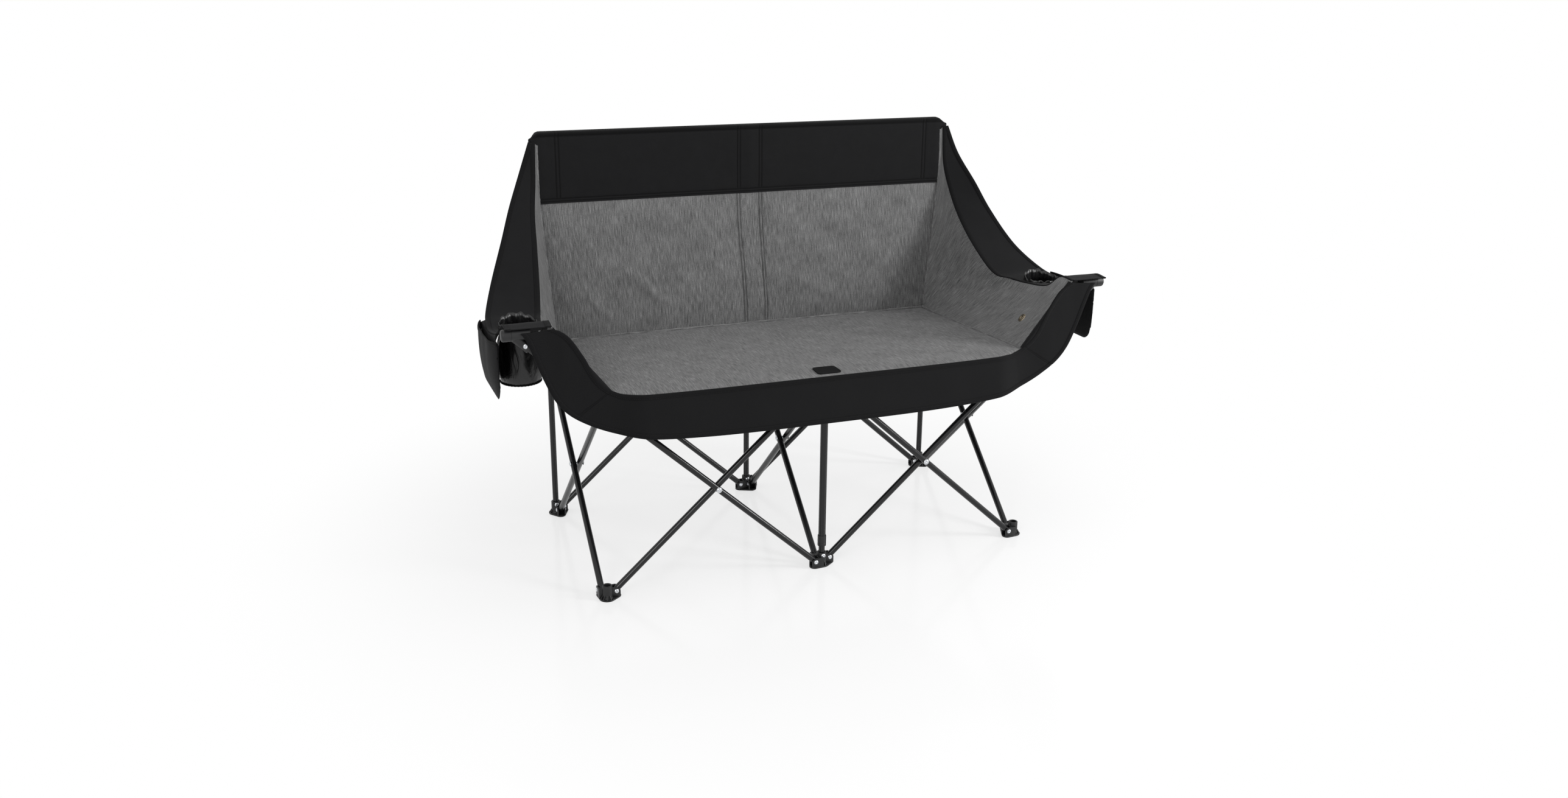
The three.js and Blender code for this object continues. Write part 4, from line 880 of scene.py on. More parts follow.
def holds(points):
    """The share of each body at each point, and the way that the slack goes when the frame is shut."""
    x, y, z = np.asarray(points, float).T
    across = clamped((np.abs(x) - POST_MARGIN) / (BAY - 2 * POST_MARGIN), 0, 1)
    deep = clamped((y + BAY / 2) / (BAY - REAR_MARGIN), 0, 1)
    # this climbs early, so that the arms' cloth loops forwards between arm and post instead of through the back
    reach = clamped((y + ARM_MARGIN) / (BAY / 2 + ARM_MARGIN), 0, 1)
    reach = (np.hypot(reach, REACH_BEND) - REACH_BEND) / (math.hypot(1, REACH_BEND) - REACH_BEND)
    reach = 1 - (1 - reach) ** REACH_CLIMB
    top = TRAY_Z + (BAND_LOW - TRAY_Z) * deep
    high = eased_step(z, 450, top)
    out = eased_step(np.abs(x), SEAT_HALF, SEAT_HALF + 190)
    upper = 1 - (1 - high) * (1 - out)
    lower = 1 - upper
    shares = dict.fromkeys(held_by, 0.0)
    left, right = (x < 0) * across, (x >= 0) * across
    shares["seat_hub"] = lower * (1 - deep) * (1 - across)
    shares["back_slider"] = lower * deep * (1 - across)
    shares["base"] = upper * (1 - across)
    for name, side in (("left", left), ("right", right)):
        shares["front_hub_" + name] = lower * (1 - deep) * side
        shares["back_slider_" + name] = lower * deep * side
        shares["arm_tube_" + name] = upper * (1 - reach) * side
        shares["back_foot_" + name] = upper * reach * side
    within = clamped(1 - clamped(np.abs(x) / BAY - 1, 0, 1) * 4, 0, 1)
    valley = within * np.sin(math.pi * across ** 0.65) ** 1.3
    hollow = np.sin(math.pi * deep)
    # the nose hangs in front of the front tubes, the seat rises over them and hangs again behind them
    hang = between(NOSE_HANG, TUBE_HANG, eased_step(y, *NOSE_ZONE))
    hang += SEAT_HANG * (eased_step(y, *MIDDLE_ZONE) - eased_step(y, *REAR_ZONE))
    outer = eased_step(np.abs(x), 600, 720)
    slack = np.zeros((len(x), 3))
    slack[:, 2] = -lower * (hang * valley * (1 - 0.45 * hollow) * (1 - 0.75 * deep)
                            + FLANK_HANG * hollow * (1 - within))
    slack[:, 2] -= FLANK_HANG * out * hollow
    behind = eased_step(deep, 0.85, 1) * (0.35 + 0.65 * upper)
    slack[:, 1] = BACK_FOLD * behind * np.sin(2 * math.pi * across) ** 2
    # sides draw in beside the arm tubes, and out again above, where left and right would meet
    beside = FLANK_OUT * groove(np.abs(x) - 562, 45) * upper ** 6 - FLANK_IN * groove(np.abs(x) - 508, 55)
    slack[:, 0] = np.sign(x) * ((ARM_OUT * out - ARM_IN * outer) * hollow + beside * (1 - deep))
    return shares, slack


def gather_nodes():
    """Geometry nodes that move each point with the bodies that hold it, and let the slack hang."""
    tree = bpy.data.node_groups.new("gather_with_frame", "GeometryNodeTree")
    tree.interface.new_socket(name="Geometry", in_out="INPUT", socket_type="NodeSocketGeometry")
    tree.interface.new_socket(name="Geometry", in_out="OUTPUT", socket_type="NodeSocketGeometry")
    start = put(tree, "NodeGroupInput")
    place = put(tree, "GeometryNodeInputPosition").outputs[0]
    total, bodies = None, {}
    for body in held_by:
        info = put(tree, "GeometryNodeObjectInfo", {"Object": frame["bodies"][body]}, transform_space="RELATIVE")
        bodies[body] = info
        there = put(tree, "FunctionNodeTransformPoint", {0: place, 1: info.outputs["Transform"]})
        share = put(tree, "GeometryNodeInputNamedAttribute", {"Name": "held_" + body}, data_type="FLOAT")
        part = put(tree, "ShaderNodeVectorMath", {0: there.outputs[0], "Scale": share.outputs[0]},
                   operation="SCALE")
        total = part if total is None else put(
            tree, "ShaderNodeVectorMath", {0: total.outputs[0], 1: part.outputs[0]}, operation="ADD")
    # the slack grows as the root of 1 - width squared, where width is the share of the open width that is left
    closing = put(tree, "ShaderNodeVectorMath", {0: bodies["front_hub_left"].outputs["Location"],
                                                 1: bodies["front_hub_right"].outputs["Location"]},
                  operation="DISTANCE")
    width = put(tree, "ShaderNodeMath", {0: 1.0, 1: closing.outputs["Value"]}, operation="SUBTRACT")
    square = put(tree, "ShaderNodeMath", {0: width.outputs[0], 1: width.outputs[0]}, operation="MULTIPLY")
    spare = put(tree, "ShaderNodeMath", {0: 1.0, 1: square.outputs[0]}, operation="SUBTRACT", use_clamp=True)
    depth = put(tree, "ShaderNodeMath", {0: spare.outputs[0], 1: 0.5}, operation="POWER")
    slack = put(tree, "GeometryNodeInputNamedAttribute", {"Name": "slack"}, data_type="FLOAT_VECTOR")
    hang = put(tree, "ShaderNodeVectorMath", {0: slack.outputs[0], "Scale": depth.outputs[0]}, operation="SCALE")
    where = put(tree, "ShaderNodeVectorMath", {0: total.outputs[0], 1: hang.outputs[0]}, operation="ADD")
    set_place = put(tree, "GeometryNodeSetPosition", {"Geometry": start.outputs[0], "Position": where.outputs[0]})
    put(tree, "NodeGroupOutput", {0: set_place.outputs[0]})
    return tree


gather = gather_nodes()


def follow_frame(made, spot=None):
    """Gives a finished cloth piece its holds, so that it folds with the frame instead of standing still. A stiff piece
    set into the cloth takes those of one spot."""
    points = (places_of(made.data) - SHIFT) / MM
    shares, slack = holds(points if spot is None else np.tile(spot, (len(points), 1)))
    for body, share in shares.items():
        store(made.data, "held_" + body, "FLOAT", "value", np.broadcast_to(share, len(points)))
    store(made.data, "slack", "FLOAT_VECTOR", "vector", slack)
    made.modifiers.new("gather", "NODES").node_group = gather
    return made


# Cloth

def unit(vectors):
    return vectors / np.maximum(np.linalg.norm(vectors, axis=-1, keepdims=True), 1e-9)


def normals_of(grid):
    return unit(np.cross(np.gradient(grid, axis=1), np.gradient(grid, axis=0)))


def lengths_over(grid):
    """Each point's place on the flat cloth in metres, measured from the middle of the grid."""
    across = np.concatenate([np.zeros((grid.shape[0], 1)), np.cumsum(
        np.linalg.norm(np.diff(grid, axis=1), axis=2), 1)], 1)
    down = np.concatenate([np.zeros((1, grid.shape[1])), np.cumsum(
        np.linalg.norm(np.diff(grid, axis=0), axis=2), 0)], 0)
    across -= across[:, [grid.shape[1] // 2]]
    down -= down[[grid.shape[0] // 2], :]
    return np.stack([across, down], -1) * MM


def flat_size(grid):
    uv = lengths_over(grid)
    return float(np.ptp(uv[..., 0], axis=1).max()), float(np.ptp(uv[..., 1], axis=0).max())


def two_sided(grid, normals, half):
    """A closed sheet: both faces of a grid, each half a thickness from it, and the rim that joins them."""
    rows, columns = grid.shape[:2]
    half = np.broadcast_to(np.asarray(half, float), (rows, columns))[..., None]
    points = np.concatenate([(grid + normals * half).reshape(-1, 3), (grid - normals * half).reshape(-1, 3)])
    index = np.arange(rows * columns).reshape(rows, columns)
    quads = np.stack([index[:-1, :-1], index[:-1, 1:], index[1:, 1:], index[1:, :-1]], -1).reshape(-1, 4)
    rim = np.concatenate([index[0, :-1], index[:-1, -1], index[-1, :0:-1], index[:0:-1, 0]])
    edge = np.stack([rim, np.roll(rim, -1), np.roll(rim, -1) + rows * columns, rim + rows * columns], 1)
    faces = np.concatenate([quads, quads[:, ::-1] + rows * columns, edge])
    return points, [tuple(f) for f in faces.tolist()]


def folds(p, rows):
    """The height of soft folds at points on a plane. A fold runs between two points and has a width and a height."""
    total = np.zeros(p.shape[:-1])
    for ax, ay, bx, by, width, height in rows:
        a, way = np.array([ax, ay]), np.array([bx - ax, by - ay])
        size = np.linalg.norm(way)
        t = ((p - a) @ way) / size ** 2
        off = ((p - a) @ np.array([-way[1], way[0]])) / size
        taper = np.where((t > 0) & (t < 1), np.sin(math.pi * clamped(t, 0, 1)) ** 0.7, 0)
        total += height * taper * np.exp(-(off / width) ** 2)
    return total


def ripples(p, count, size, height, seed):
    """Slight waves in a stretched cloth, from seeded sines of about one size."""
    rng = np.random.default_rng(seed)
    total = np.zeros(p.shape[:-1])
    for _ in range(count):
        angle, phase = rng.uniform(0, math.pi), rng.uniform(0, 2 * math.pi)
        pitch = size * rng.uniform(0.6, 1.6)
        total += np.sin((p[..., 0] * math.cos(angle) + p[..., 1] * math.sin(angle)) * 2 * math.pi / pitch + phase)
    return total * height / math.sqrt(count)


def with_seams(low, high, step, seams):
    """Even places with more of them beside each seam, so that its groove has a form."""
    even = np.arange(low, high + step / 2, step)
    near = [seam + off for seam in seams for off in (-3, -1.6, -0.8, 0, 0.8, 1.6, 3)]
    apart = [x for x in even if all(abs(x - seam) > 4 for seam in seams)]
    return np.array(sorted({round(float(x), 3) for x in [low, high, *near, *apart] if low <= x <= high}))


def sided(grid, mirror):
    return grid * np.array([-1, 1, 1]) if mirror else grid


def store_darkening(made, depth):
    """Stores how much each point of a two-sided sheet is darkened, mostly painted shade in the grooves of its seams.
    """
    store(made.data, "darkening", "FLOAT", "value", np.tile(clamped(depth, 0, 1).ravel(), 2))


def cloth_piece(name, grid, finish, body, node=(), thickness=CLOTH, mirror=False, warp_down=True, **sheet):
    """A panel of cloth on a grid of points. The sheet's words, such as held and rests_on, are not used."""
    grid = sided(grid, mirror)
    uv = lengths_over(grid).reshape(-1, 2)[:, ::1 if warp_down else -1]
    made = piece(name, two_sided(grid, normals_of(grid), thickness / 2), finish, body, node, np.concatenate([uv, uv]))
    if sheet:
        flat_size(grid)
    return made


def ribbon(path, inward, normal, profile):
    """A strip swept along a path: its section is given inward from the edge and along the cloth's normal."""
    loops = [np.asarray(path) + inward * a + normal * b for a, b in profile]
    return stacked(list(np.stack(loops, 1)))


def strip_piece(name, strips, finish, body):
    """Tapes or rolls along seams, each a path, the way in from its edge, the cloth's normal and a section."""
    forms, uv = [], []
    for path, inward, normal, section in strips:
        forms.append(ribbon(path, inward, normal, section))
        uv.append(np.column_stack([np.tile(np.arange(len(section)) * 0.0015, len(path)),
                                   np.repeat(run_along(path) * MM, len(section))]))
    return follow_frame(piece(name, merged(*forms), finish, body, uv=np.concatenate(uv)))


def stitches(path, normal, pitch=3.8, length=2.7, radius=0.42):
    """A row of lock stitches: each is a short spindle of thread that dips into the cloth at both ends."""
    path, normal = np.asarray(path, float), np.asarray(normal, float)
    run = run_along(path)
    starts = np.arange(pitch / 2, run[-1] - pitch / 2, pitch)

    def at(distance, rows):
        return np.stack([np.interp(distance, run, rows[:, k]) for k in range(3)], 1)
    middle, up = at(starts, path), unit(at(starts, normal))
    ahead = unit(at(starts + 0.5, path) - at(starts - 0.5, path))
    side = np.cross(ahead, up)
    corners = np.stack([
        middle - ahead * length / 2 - up * 0.2, middle + up * radius, middle + side * radius,
        middle - up * radius, middle - side * radius, middle + ahead * length / 2 - up * 0.2], 1)
    shape = [(0, 2, 1), (0, 3, 2), (0, 4, 3), (0, 1, 4), (5, 1, 2), (5, 2, 3), (5, 3, 4), (5, 4, 1)]
    faces = (np.array(shape)[None] + 6 * np.arange(len(starts))[:, None, None]).reshape(-1, 3)
    return corners.reshape(-1, 3), [tuple(f) for f in faces.tolist()]


def stitch_piece(name, rows, thread, body):
    return follow_frame(piece(name, merged(*rows), thread, body))


def both_faces(path, normal, lift):
    """A row of stitches as it shows on either face of the cloth."""
    return [stitches(path + normal * face * lift, normal * face) for face in (1, -1)]


def edge_frame(grid, edge):
    """The low or high edge of a grid, with the way in from it and the cloth's normal."""
    k, inner = (0, 1) if edge == "low" else (-1, -2)
    return grid[k], unit(grid[inner] - grid[k]), normals_of(grid)[k]


def tape_section(reach, half, beyond=1.4):
    return [(reach, half * 0.6), (reach - 0.4, half), (1.2, half + 0.1), (-beyond * 0.45, half * 0.75), (-beyond, 0),
            (-beyond * 0.45, -half * 0.75), (1.2, -half - 0.1), (reach - 0.4, -half), (reach, -half * 0.6)]


def bound(name, grid, edges, body, mirror=False, reach=9.5, half=1.75, inset_stitch=7.4):
    """Binding tape folded over a cloth's edges, with a row of stitches near the tape's inner edge."""
    grid = sided(grid, mirror)
    tapes, rows = [], []
    for edge in edges:
        path, inward, normal = edge_frame(grid, edge)
        tapes.append((path, inward, normal, tape_section(reach, half)))
        rows += both_faces(path + inward * inset_stitch, normal, half + 0.05)
    strip_piece(name + "_binding", tapes, black_tape, body)
    stitch_piece(name + "_stitches", rows, black_thread, body)


def roll_section(radius, sides=10):
    return [(radius * math.cos(a), radius * math.sin(a)) for a in np.arange(sides) * 2 * math.pi / sides]


def roll(path, radius, inward=(0, 0, 1), size=1):
    """A rolled seam along a path, slightly puckered by its stitches."""
    path = np.asarray(path, float)
    ahead = unit(np.gradient(path, axis=0))
    up = unit(np.asarray(inward, float) - ahead * (ahead @ np.asarray(inward, float))[:, None])
    run = run_along(path)
    swell = (size * (1 + 0.07 * np.sin(run * 2 * math.pi / 11) + 0.04 * np.sin(run * 2 * math.pi / 29)))[:, None]
    return path, up * swell, np.cross(ahead, up) * swell, roll_section(radius)


def resampled(path, step):
    path = np.asarray(path, float)
    run = run_along(path)
    places = np.linspace(0, run[-1], max(int(run[-1] / step), 2))
    return np.stack([np.interp(places, run, path[:, k]) for k in range(3)], 1)


def puff(made, sewn, cap):
    """Blows a pad up with cloth simulation while its seams hold, and keeps each point within cap of its start."""
    mesh = made.data
    before = places_of(mesh)
    made.vertex_groups.new(name="sewn").add(np.flatnonzero(sewn).tolist(), 1.0, "REPLACE")
    blow = made.modifiers.new("puff", "CLOTH")
    blow.settings.quality = 6
    blow.settings.mass = 0.3
    blow.settings.use_pressure = True
    blow.settings.uniform_pressure_force = 4
    blow.settings.vertex_group_mass = "sewn"
    blow.settings.effector_weights.gravity = 0
    blow.settings.tension_stiffness = blow.settings.compression_stiffness = 12
    blow.settings.bending_stiffness = 0.4
    blow.collision_settings.use_collision = False
    for step in range(1, 21):
        scene.frame_set(step)
    shift = places_of(made.evaluated_get(bpy.context.evaluated_depsgraph_get()).to_mesh()) - before
    made.modifiers.remove(blow)
    scene.frame_set(1)
    size = np.linalg.norm(shift, axis=1, keepdims=True)
    shift *= cap * MM * np.tanh(size / (cap * MM)) / np.maximum(size, 1e-9)
    mesh.vertices.foreach_set("co", (before + shift).ravel())
    mesh.update()


def pad_half(near, full):
    return (PAD_EDGE + (full - PAD_EDGE) * np.sin(clamped(near / PAD_SHOULDER, 0, 1) * math.pi / 2)) / 2


def pad_piece(name, grid, half, body, node, pressing, cap):
    """A padded panel: its form is set, its seams are held, it is blown up, and its weave is laid on it."""
    made = cloth_piece(name, grid, grey_melange, body, [node], 2 * half)
    sewn = pressing > 0.9
    sewn[[0, -1]] = sewn[:, [0, -1]] = True
    puff(made, np.concatenate([sewn.ravel(), sewn.ravel()]), cap)
    # the seams' mask also darkens the cloth along them, on the back pad its quilting: painted shade in the grooves
    store_darkening(made, pressing)
    follow_frame(made)
    finer = made.modifiers.new("finer", "SUBSURF")
    finer.levels = finer.render_levels = 1
    return made


def evenly(count):
    return np.linspace(0, 1, count + 1)


# Seat pad
u, v = np.meshgrid(evenly(150), evenly(76))
grid = seat_surface((2 * u - 1) * SEAT_HALF, v)
flat = grid[..., :2]
relief = ripples(flat, 9, 150, 0.5, 3)
relief += folds(flat, [
    (-440, -180, -300, -60, 16, 1.8), (430, -200, 300, -80, 16, 1.6), (-120, 190, 60, 215, 12, 1.4),
    (-380, 150, -250, 205, 12, 1.6), (250, 205, 390, 165, 12, 1.4), (-460, 60, -380, 190, 14, 1.5),
    (60, -262, 190, -240, 10, -0.8), (-250, -265, -130, -238, 10, -0.8)])
# small puckers run in from the sewn edges, about one every 19 mm
run_x, run_y = (2 * u - 1) * SEAT_HALF, v * SEAT_RUN
relief += (0.5 * np.sin(run_x * 2 * math.pi / 19 + np.sin(run_x / 37) * 2)
           * (np.exp(-run_y / 14) + np.exp((run_y - SEAT_RUN) / 14)))
from_side, from_end = np.minimum(u, 1 - u), np.minimum(v, 1 - v)
grid[..., 2] += relief * np.minimum(1, 12 * np.minimum(from_side, from_end) + 0.2)
near = np.minimum(from_side * 2 * SEAT_HALF, from_end * SEAT_RUN)
seat = pad_piece("seat_pad", grid, pad_half(near, SEAT_FULL - 1), "seat_hub", "seat_panel", np.zeros(u.shape),
                 cap=5)

# Back pad: two rows of quilting beside the centre post, which the lower cloth carries a little to one side
QUILTING = (-31, -24, 24, 31)
DRIFT = 20
BACK_TUCK = 779
z_rows = between(BACK_LOW, BACK_TUCK, evenly(52))
x_columns = with_seams(-BAY, BAY, 7.2, QUILTING) / BAY
x_shares, z = np.meshgrid(x_columns, z_rows)
wide = back_edge_x(z)
drift = DRIFT * (1 - eased_step(z, BACK_LOW, BACK_HIGH)) * (1 - x_shares ** 2)
x = x_shares * wide + drift
grid = np.stack([x, np.full(x.shape, BACK_Y), z], -1)
flat = np.stack([x, z], -1)
quilted = clamped(sum(groove(x_shares * BAY - seam) for seam in QUILTING), 0, 1)
lift = ripples(flat, 9, 140, 0.7, 5)
lift += folds(flat, [
    (-330, 625, -190, 500, 14, 4.6), (-300, 610, -170, 490, 9, -3.0), (-420, 560, -330, 465, 12, 3.6),
    (-250, 545, -110, 465, 12, 3.0), (120, 560, 260, 480, 14, 2.2), (330, 620, 430, 500, 14, 2.4),
    (-460, 740, -380, 640, 10, 1.6), (-300, 720, -150, 650, 16, -2.2), (80, 700, 300, 640, 18, -1.8),
    (-140, 520, -60, 460, 10, 2.2), (200, 745, 330, 690, 14, 1.6)])
lift += (0.5 * np.sin(z / 4.1 + np.sin(z / 17))
         * sum(np.exp(-np.abs(x_shares * BAY - seam) / 9) for seam in QUILTING))
lift *= 1.3 * np.sin(math.pi * clamped((z - BACK_LOW) / (BACK_HIGH - BACK_LOW), 0, 1)) ** 0.5
grid[..., 1] -= lift
near = np.minimum((1 - np.abs(x_shares)) * wide, np.minimum(z - BACK_LOW, BACK_TUCK - z))
pad_piece("back_pad", grid, pad_half(near, BACK_FULL - 1) * (1 - 0.4 * quilted), "base", "back_panel", quilted,
          cap=4)
rows = []
for seam in QUILTING:
    path = grid[2:-6, nearest(x_columns * BAY, seam)]
    rows += both_faces(path, np.tile([0, -1, 0], (len(path), 1)), BACK_FULL * 0.3 + 0.5)
stitch_piece("back_quilting_stitches", rows, grey_thread, "base")

# Rolled seams between seat, back and sides
x = np.arange(-484, 485, 3.0)
rear = np.stack([x, np.full(x.shape, 233.2), 446.8 + 0.5 * np.sin(x / 31)], -1)
z, v = np.arange(930, 449, -3.0), np.linspace(1, 0, 170)
pads = np.concatenate([np.stack([back_edge_x(z), np.full(z.shape, 234.6), z], -1),
                       seat_surface(np.full(v.shape, SEAT_HALF), v) + np.array([0, 0, 1.2])])
edge = side_surface(np.linspace(0, 1, 330), np.array([0.0]))[0]
facing = pads[np.argmin(np.linalg.norm(edge[:, None] - pads[None], axis=2), axis=1)]
gap = evened(np.linalg.norm(edge - facing, axis=1) / 2, 4)
corners = [roll(sided((edge + facing) / 2, mirror), 1, (0, 1, 1), np.maximum(gap + 1.3, 2.4))
           for mirror in (True, False)]
strip_piece("sling_seams", [roll(rear, 3.3), *corners], grey_melange, "seat_hub")

# Sides, wings and their edges
u = evenly(230)
panel_u = np.concatenate([np.linspace(0, 0.44, 90), np.linspace(0.443, 0.66, 190), np.linspace(0.664, 1, 70)])
U, V = np.meshgrid(panel_u, evenly(60))
panel_grid = side_surface(panel_u, evenly(60))
# the seam draws the cloth into short gathers where it turns into the arm
gathers = np.exp(-((U - 0.54) / 0.07) ** 4) * V ** 5 * np.sin(U * 2 * math.pi * 104 + 5 * V + np.sin(U * 90)) * 1.1
panel_relief = (ripples(lengths_over(panel_grid) / MM, 8, 130, 0.6, 11) * np.sin(math.pi * V) + gathers
                + folds(np.stack([U, V], -1) * 500, [(200, 60, 300, 380, 22, 2.0), (330, 80, 400, 420, 20, 1.6)]))
panel_grid += normals_of(panel_grid) * panel_relief[..., None]
U, V = np.meshgrid(u, evenly(40))
wing_grid = wing_surface(u, evenly(40))
wing_relief = ripples(lengths_over(wing_grid) / MM, 8, 110, 0.9, 13) * np.sin(math.pi * V) * np.sin(math.pi * U)
wing_grid += normals_of(wing_grid) * wing_relief[..., None]
CUP = (632, -90)
CUP_TOP = 586
CUP_FLOOR = 458.5
SLOT_X, SLOT_Y = 672, -198
SLOT_TAPE = 7.6
POCKET_X = 697.4


def cut_from(made, forms):
    """Cuts forms out of a piece, and keeps the result as its mesh."""
    cutter = piece("cutter", merged(*forms), black_oxford, "base")
    away = made.modifiers.new("cut", "BOOLEAN")
    away.object, away.operation, away.solver = cutter, "DIFFERENCE", "EXACT"
    bpy.context.view_layer.update()
    fresh = bpy.data.meshes.new_from_object(made.evaluated_get(bpy.context.evaluated_depsgraph_get()))
    made.modifiers.remove(away)
    made.data = fresh
    bpy.data.objects.remove(cutter)


def cup_wave(radius, z, angle):
    """Pleats under the elastic, soft folds in the body, and a ruffled lip that stands higher at the back."""
    if radius < 36 and z < 470:
        return 0, 0.8 * np.sin(angle * 2) * radius / 36
    pleats = 1.4 * math.exp(-((z - 570) / 13) ** 2) * np.sin(angle * 19 + 0.6 * np.sin(angle * 5))
    body = math.exp(-((z - 512) / 42) ** 2) * (1.6 * np.sin(angle * 3 + 1) + 1.1 * np.sin(angle * 7 + z / 21)
                                               + 0.6 * np.sin(angle * 13 - z / 13))
    lip = eased_step(z, 566, CUP_TOP)
    ruffle = lip * (1.6 * np.sin(angle * 11 + 0.7) + 1.0 * np.sin(angle * 17))
    return pleats + body + lip * 0.9 * np.sin(angle * 11), ruffle + lip * 12 * np.maximum(np.sin(angle), 0) ** 1.5


cup_outer = [(39.6, CUP_TOP), (39.4, 580), (39.4, 574), (39.6, 568), (41.5, 560), (44, 552), (45.5, 544), (46, 530),
             (46.2, 512), (46.2, 494), (45.8, 480), (44.6, 470), (42.6, 463), (40, CUP_FLOOR + 0.6), (36, CUP_FLOOR),
             (24, CUP_FLOOR), (12, CUP_FLOOR), (0, CUP_FLOOR)]
cup_inner = [(max(r - 1.5, 0), z + (1.5 if z < 470 else 0)) for r, z in cup_outer]
cup_outline = [(39.2, CUP_TOP + 0.4), *cup_outer, *cup_inner[::-1], (39.2, CUP_TOP + 0.4)]
pocket_y = np.linspace(-214, -24, 61)
edge_line = arm_edge(np.linspace(0, 1, 400))
edge_order = np.argsort(edge_line[:, 1])
edge_x = np.interp(pocket_y, edge_line[edge_order, 1], edge_line[edge_order, 0])
edge_z = np.interp(pocket_y, edge_line[edge_order, 1], edge_line[edge_order, 2])


def pocket_grid():
    """A pouch folded from one cloth: under the arm's edge, down the inner wall, and up the outer wall."""
    share = (pocket_y - pocket_y[0]) / np.ptp(pocket_y)
    end = np.abs(2 * share - 1)
    low = 457 + 30 * (1 - np.sqrt(np.clip(1 - (np.maximum(end - 0.7, 0) / 0.3) ** 2, 0, 1)))
    sag = 3.5 * np.sin(math.pi * share)
    held = eased_step(pocket_y, -190, -182)
    rows = [np.stack([between(697.2, edge_x - 4, held), pocket_y, between(578, edge_z - 2.2, held)], -1),
            np.stack([between(697.2, edge_x + 2, held), pocket_y, between(578, edge_z - 2.4, held)], -1)]
    for t in np.linspace(1, 0.05, 18):
        rows.append(np.stack([POCKET_X + 0.5 * np.sin(share * 9 + t * 4), pocket_y, between(low, 577, t)], -1))
    for t in np.linspace(0, 1, 24):
        full = (1 - end ** 5) * (3.6 + 8.4 * t + 3.0 * math.sin(math.pi * t)) + 1.9
        full = full * (1 - 0.75 * (1 - t) ** 6) + 0.5 * np.sin(share * 23 + t * 3) * t
        rows.append(np.stack([POCKET_X + full, pocket_y, between(low, 580.5 - sag, t)], -1))
    return np.array(rows)


def eyelet_frame(mirror):
    """Where an eyelet sits on a side panel, and the frame whose Z leaves the cloth there."""
    grid = sided(panel_grid, mirror)
    k = np.unravel_index(np.argmin((grid[..., 1] + 175) ** 2 + (grid[..., 2] - 515) ** 2), grid.shape[:2])
    return along(grid[k], grid[k] + normals_of(grid)[k])


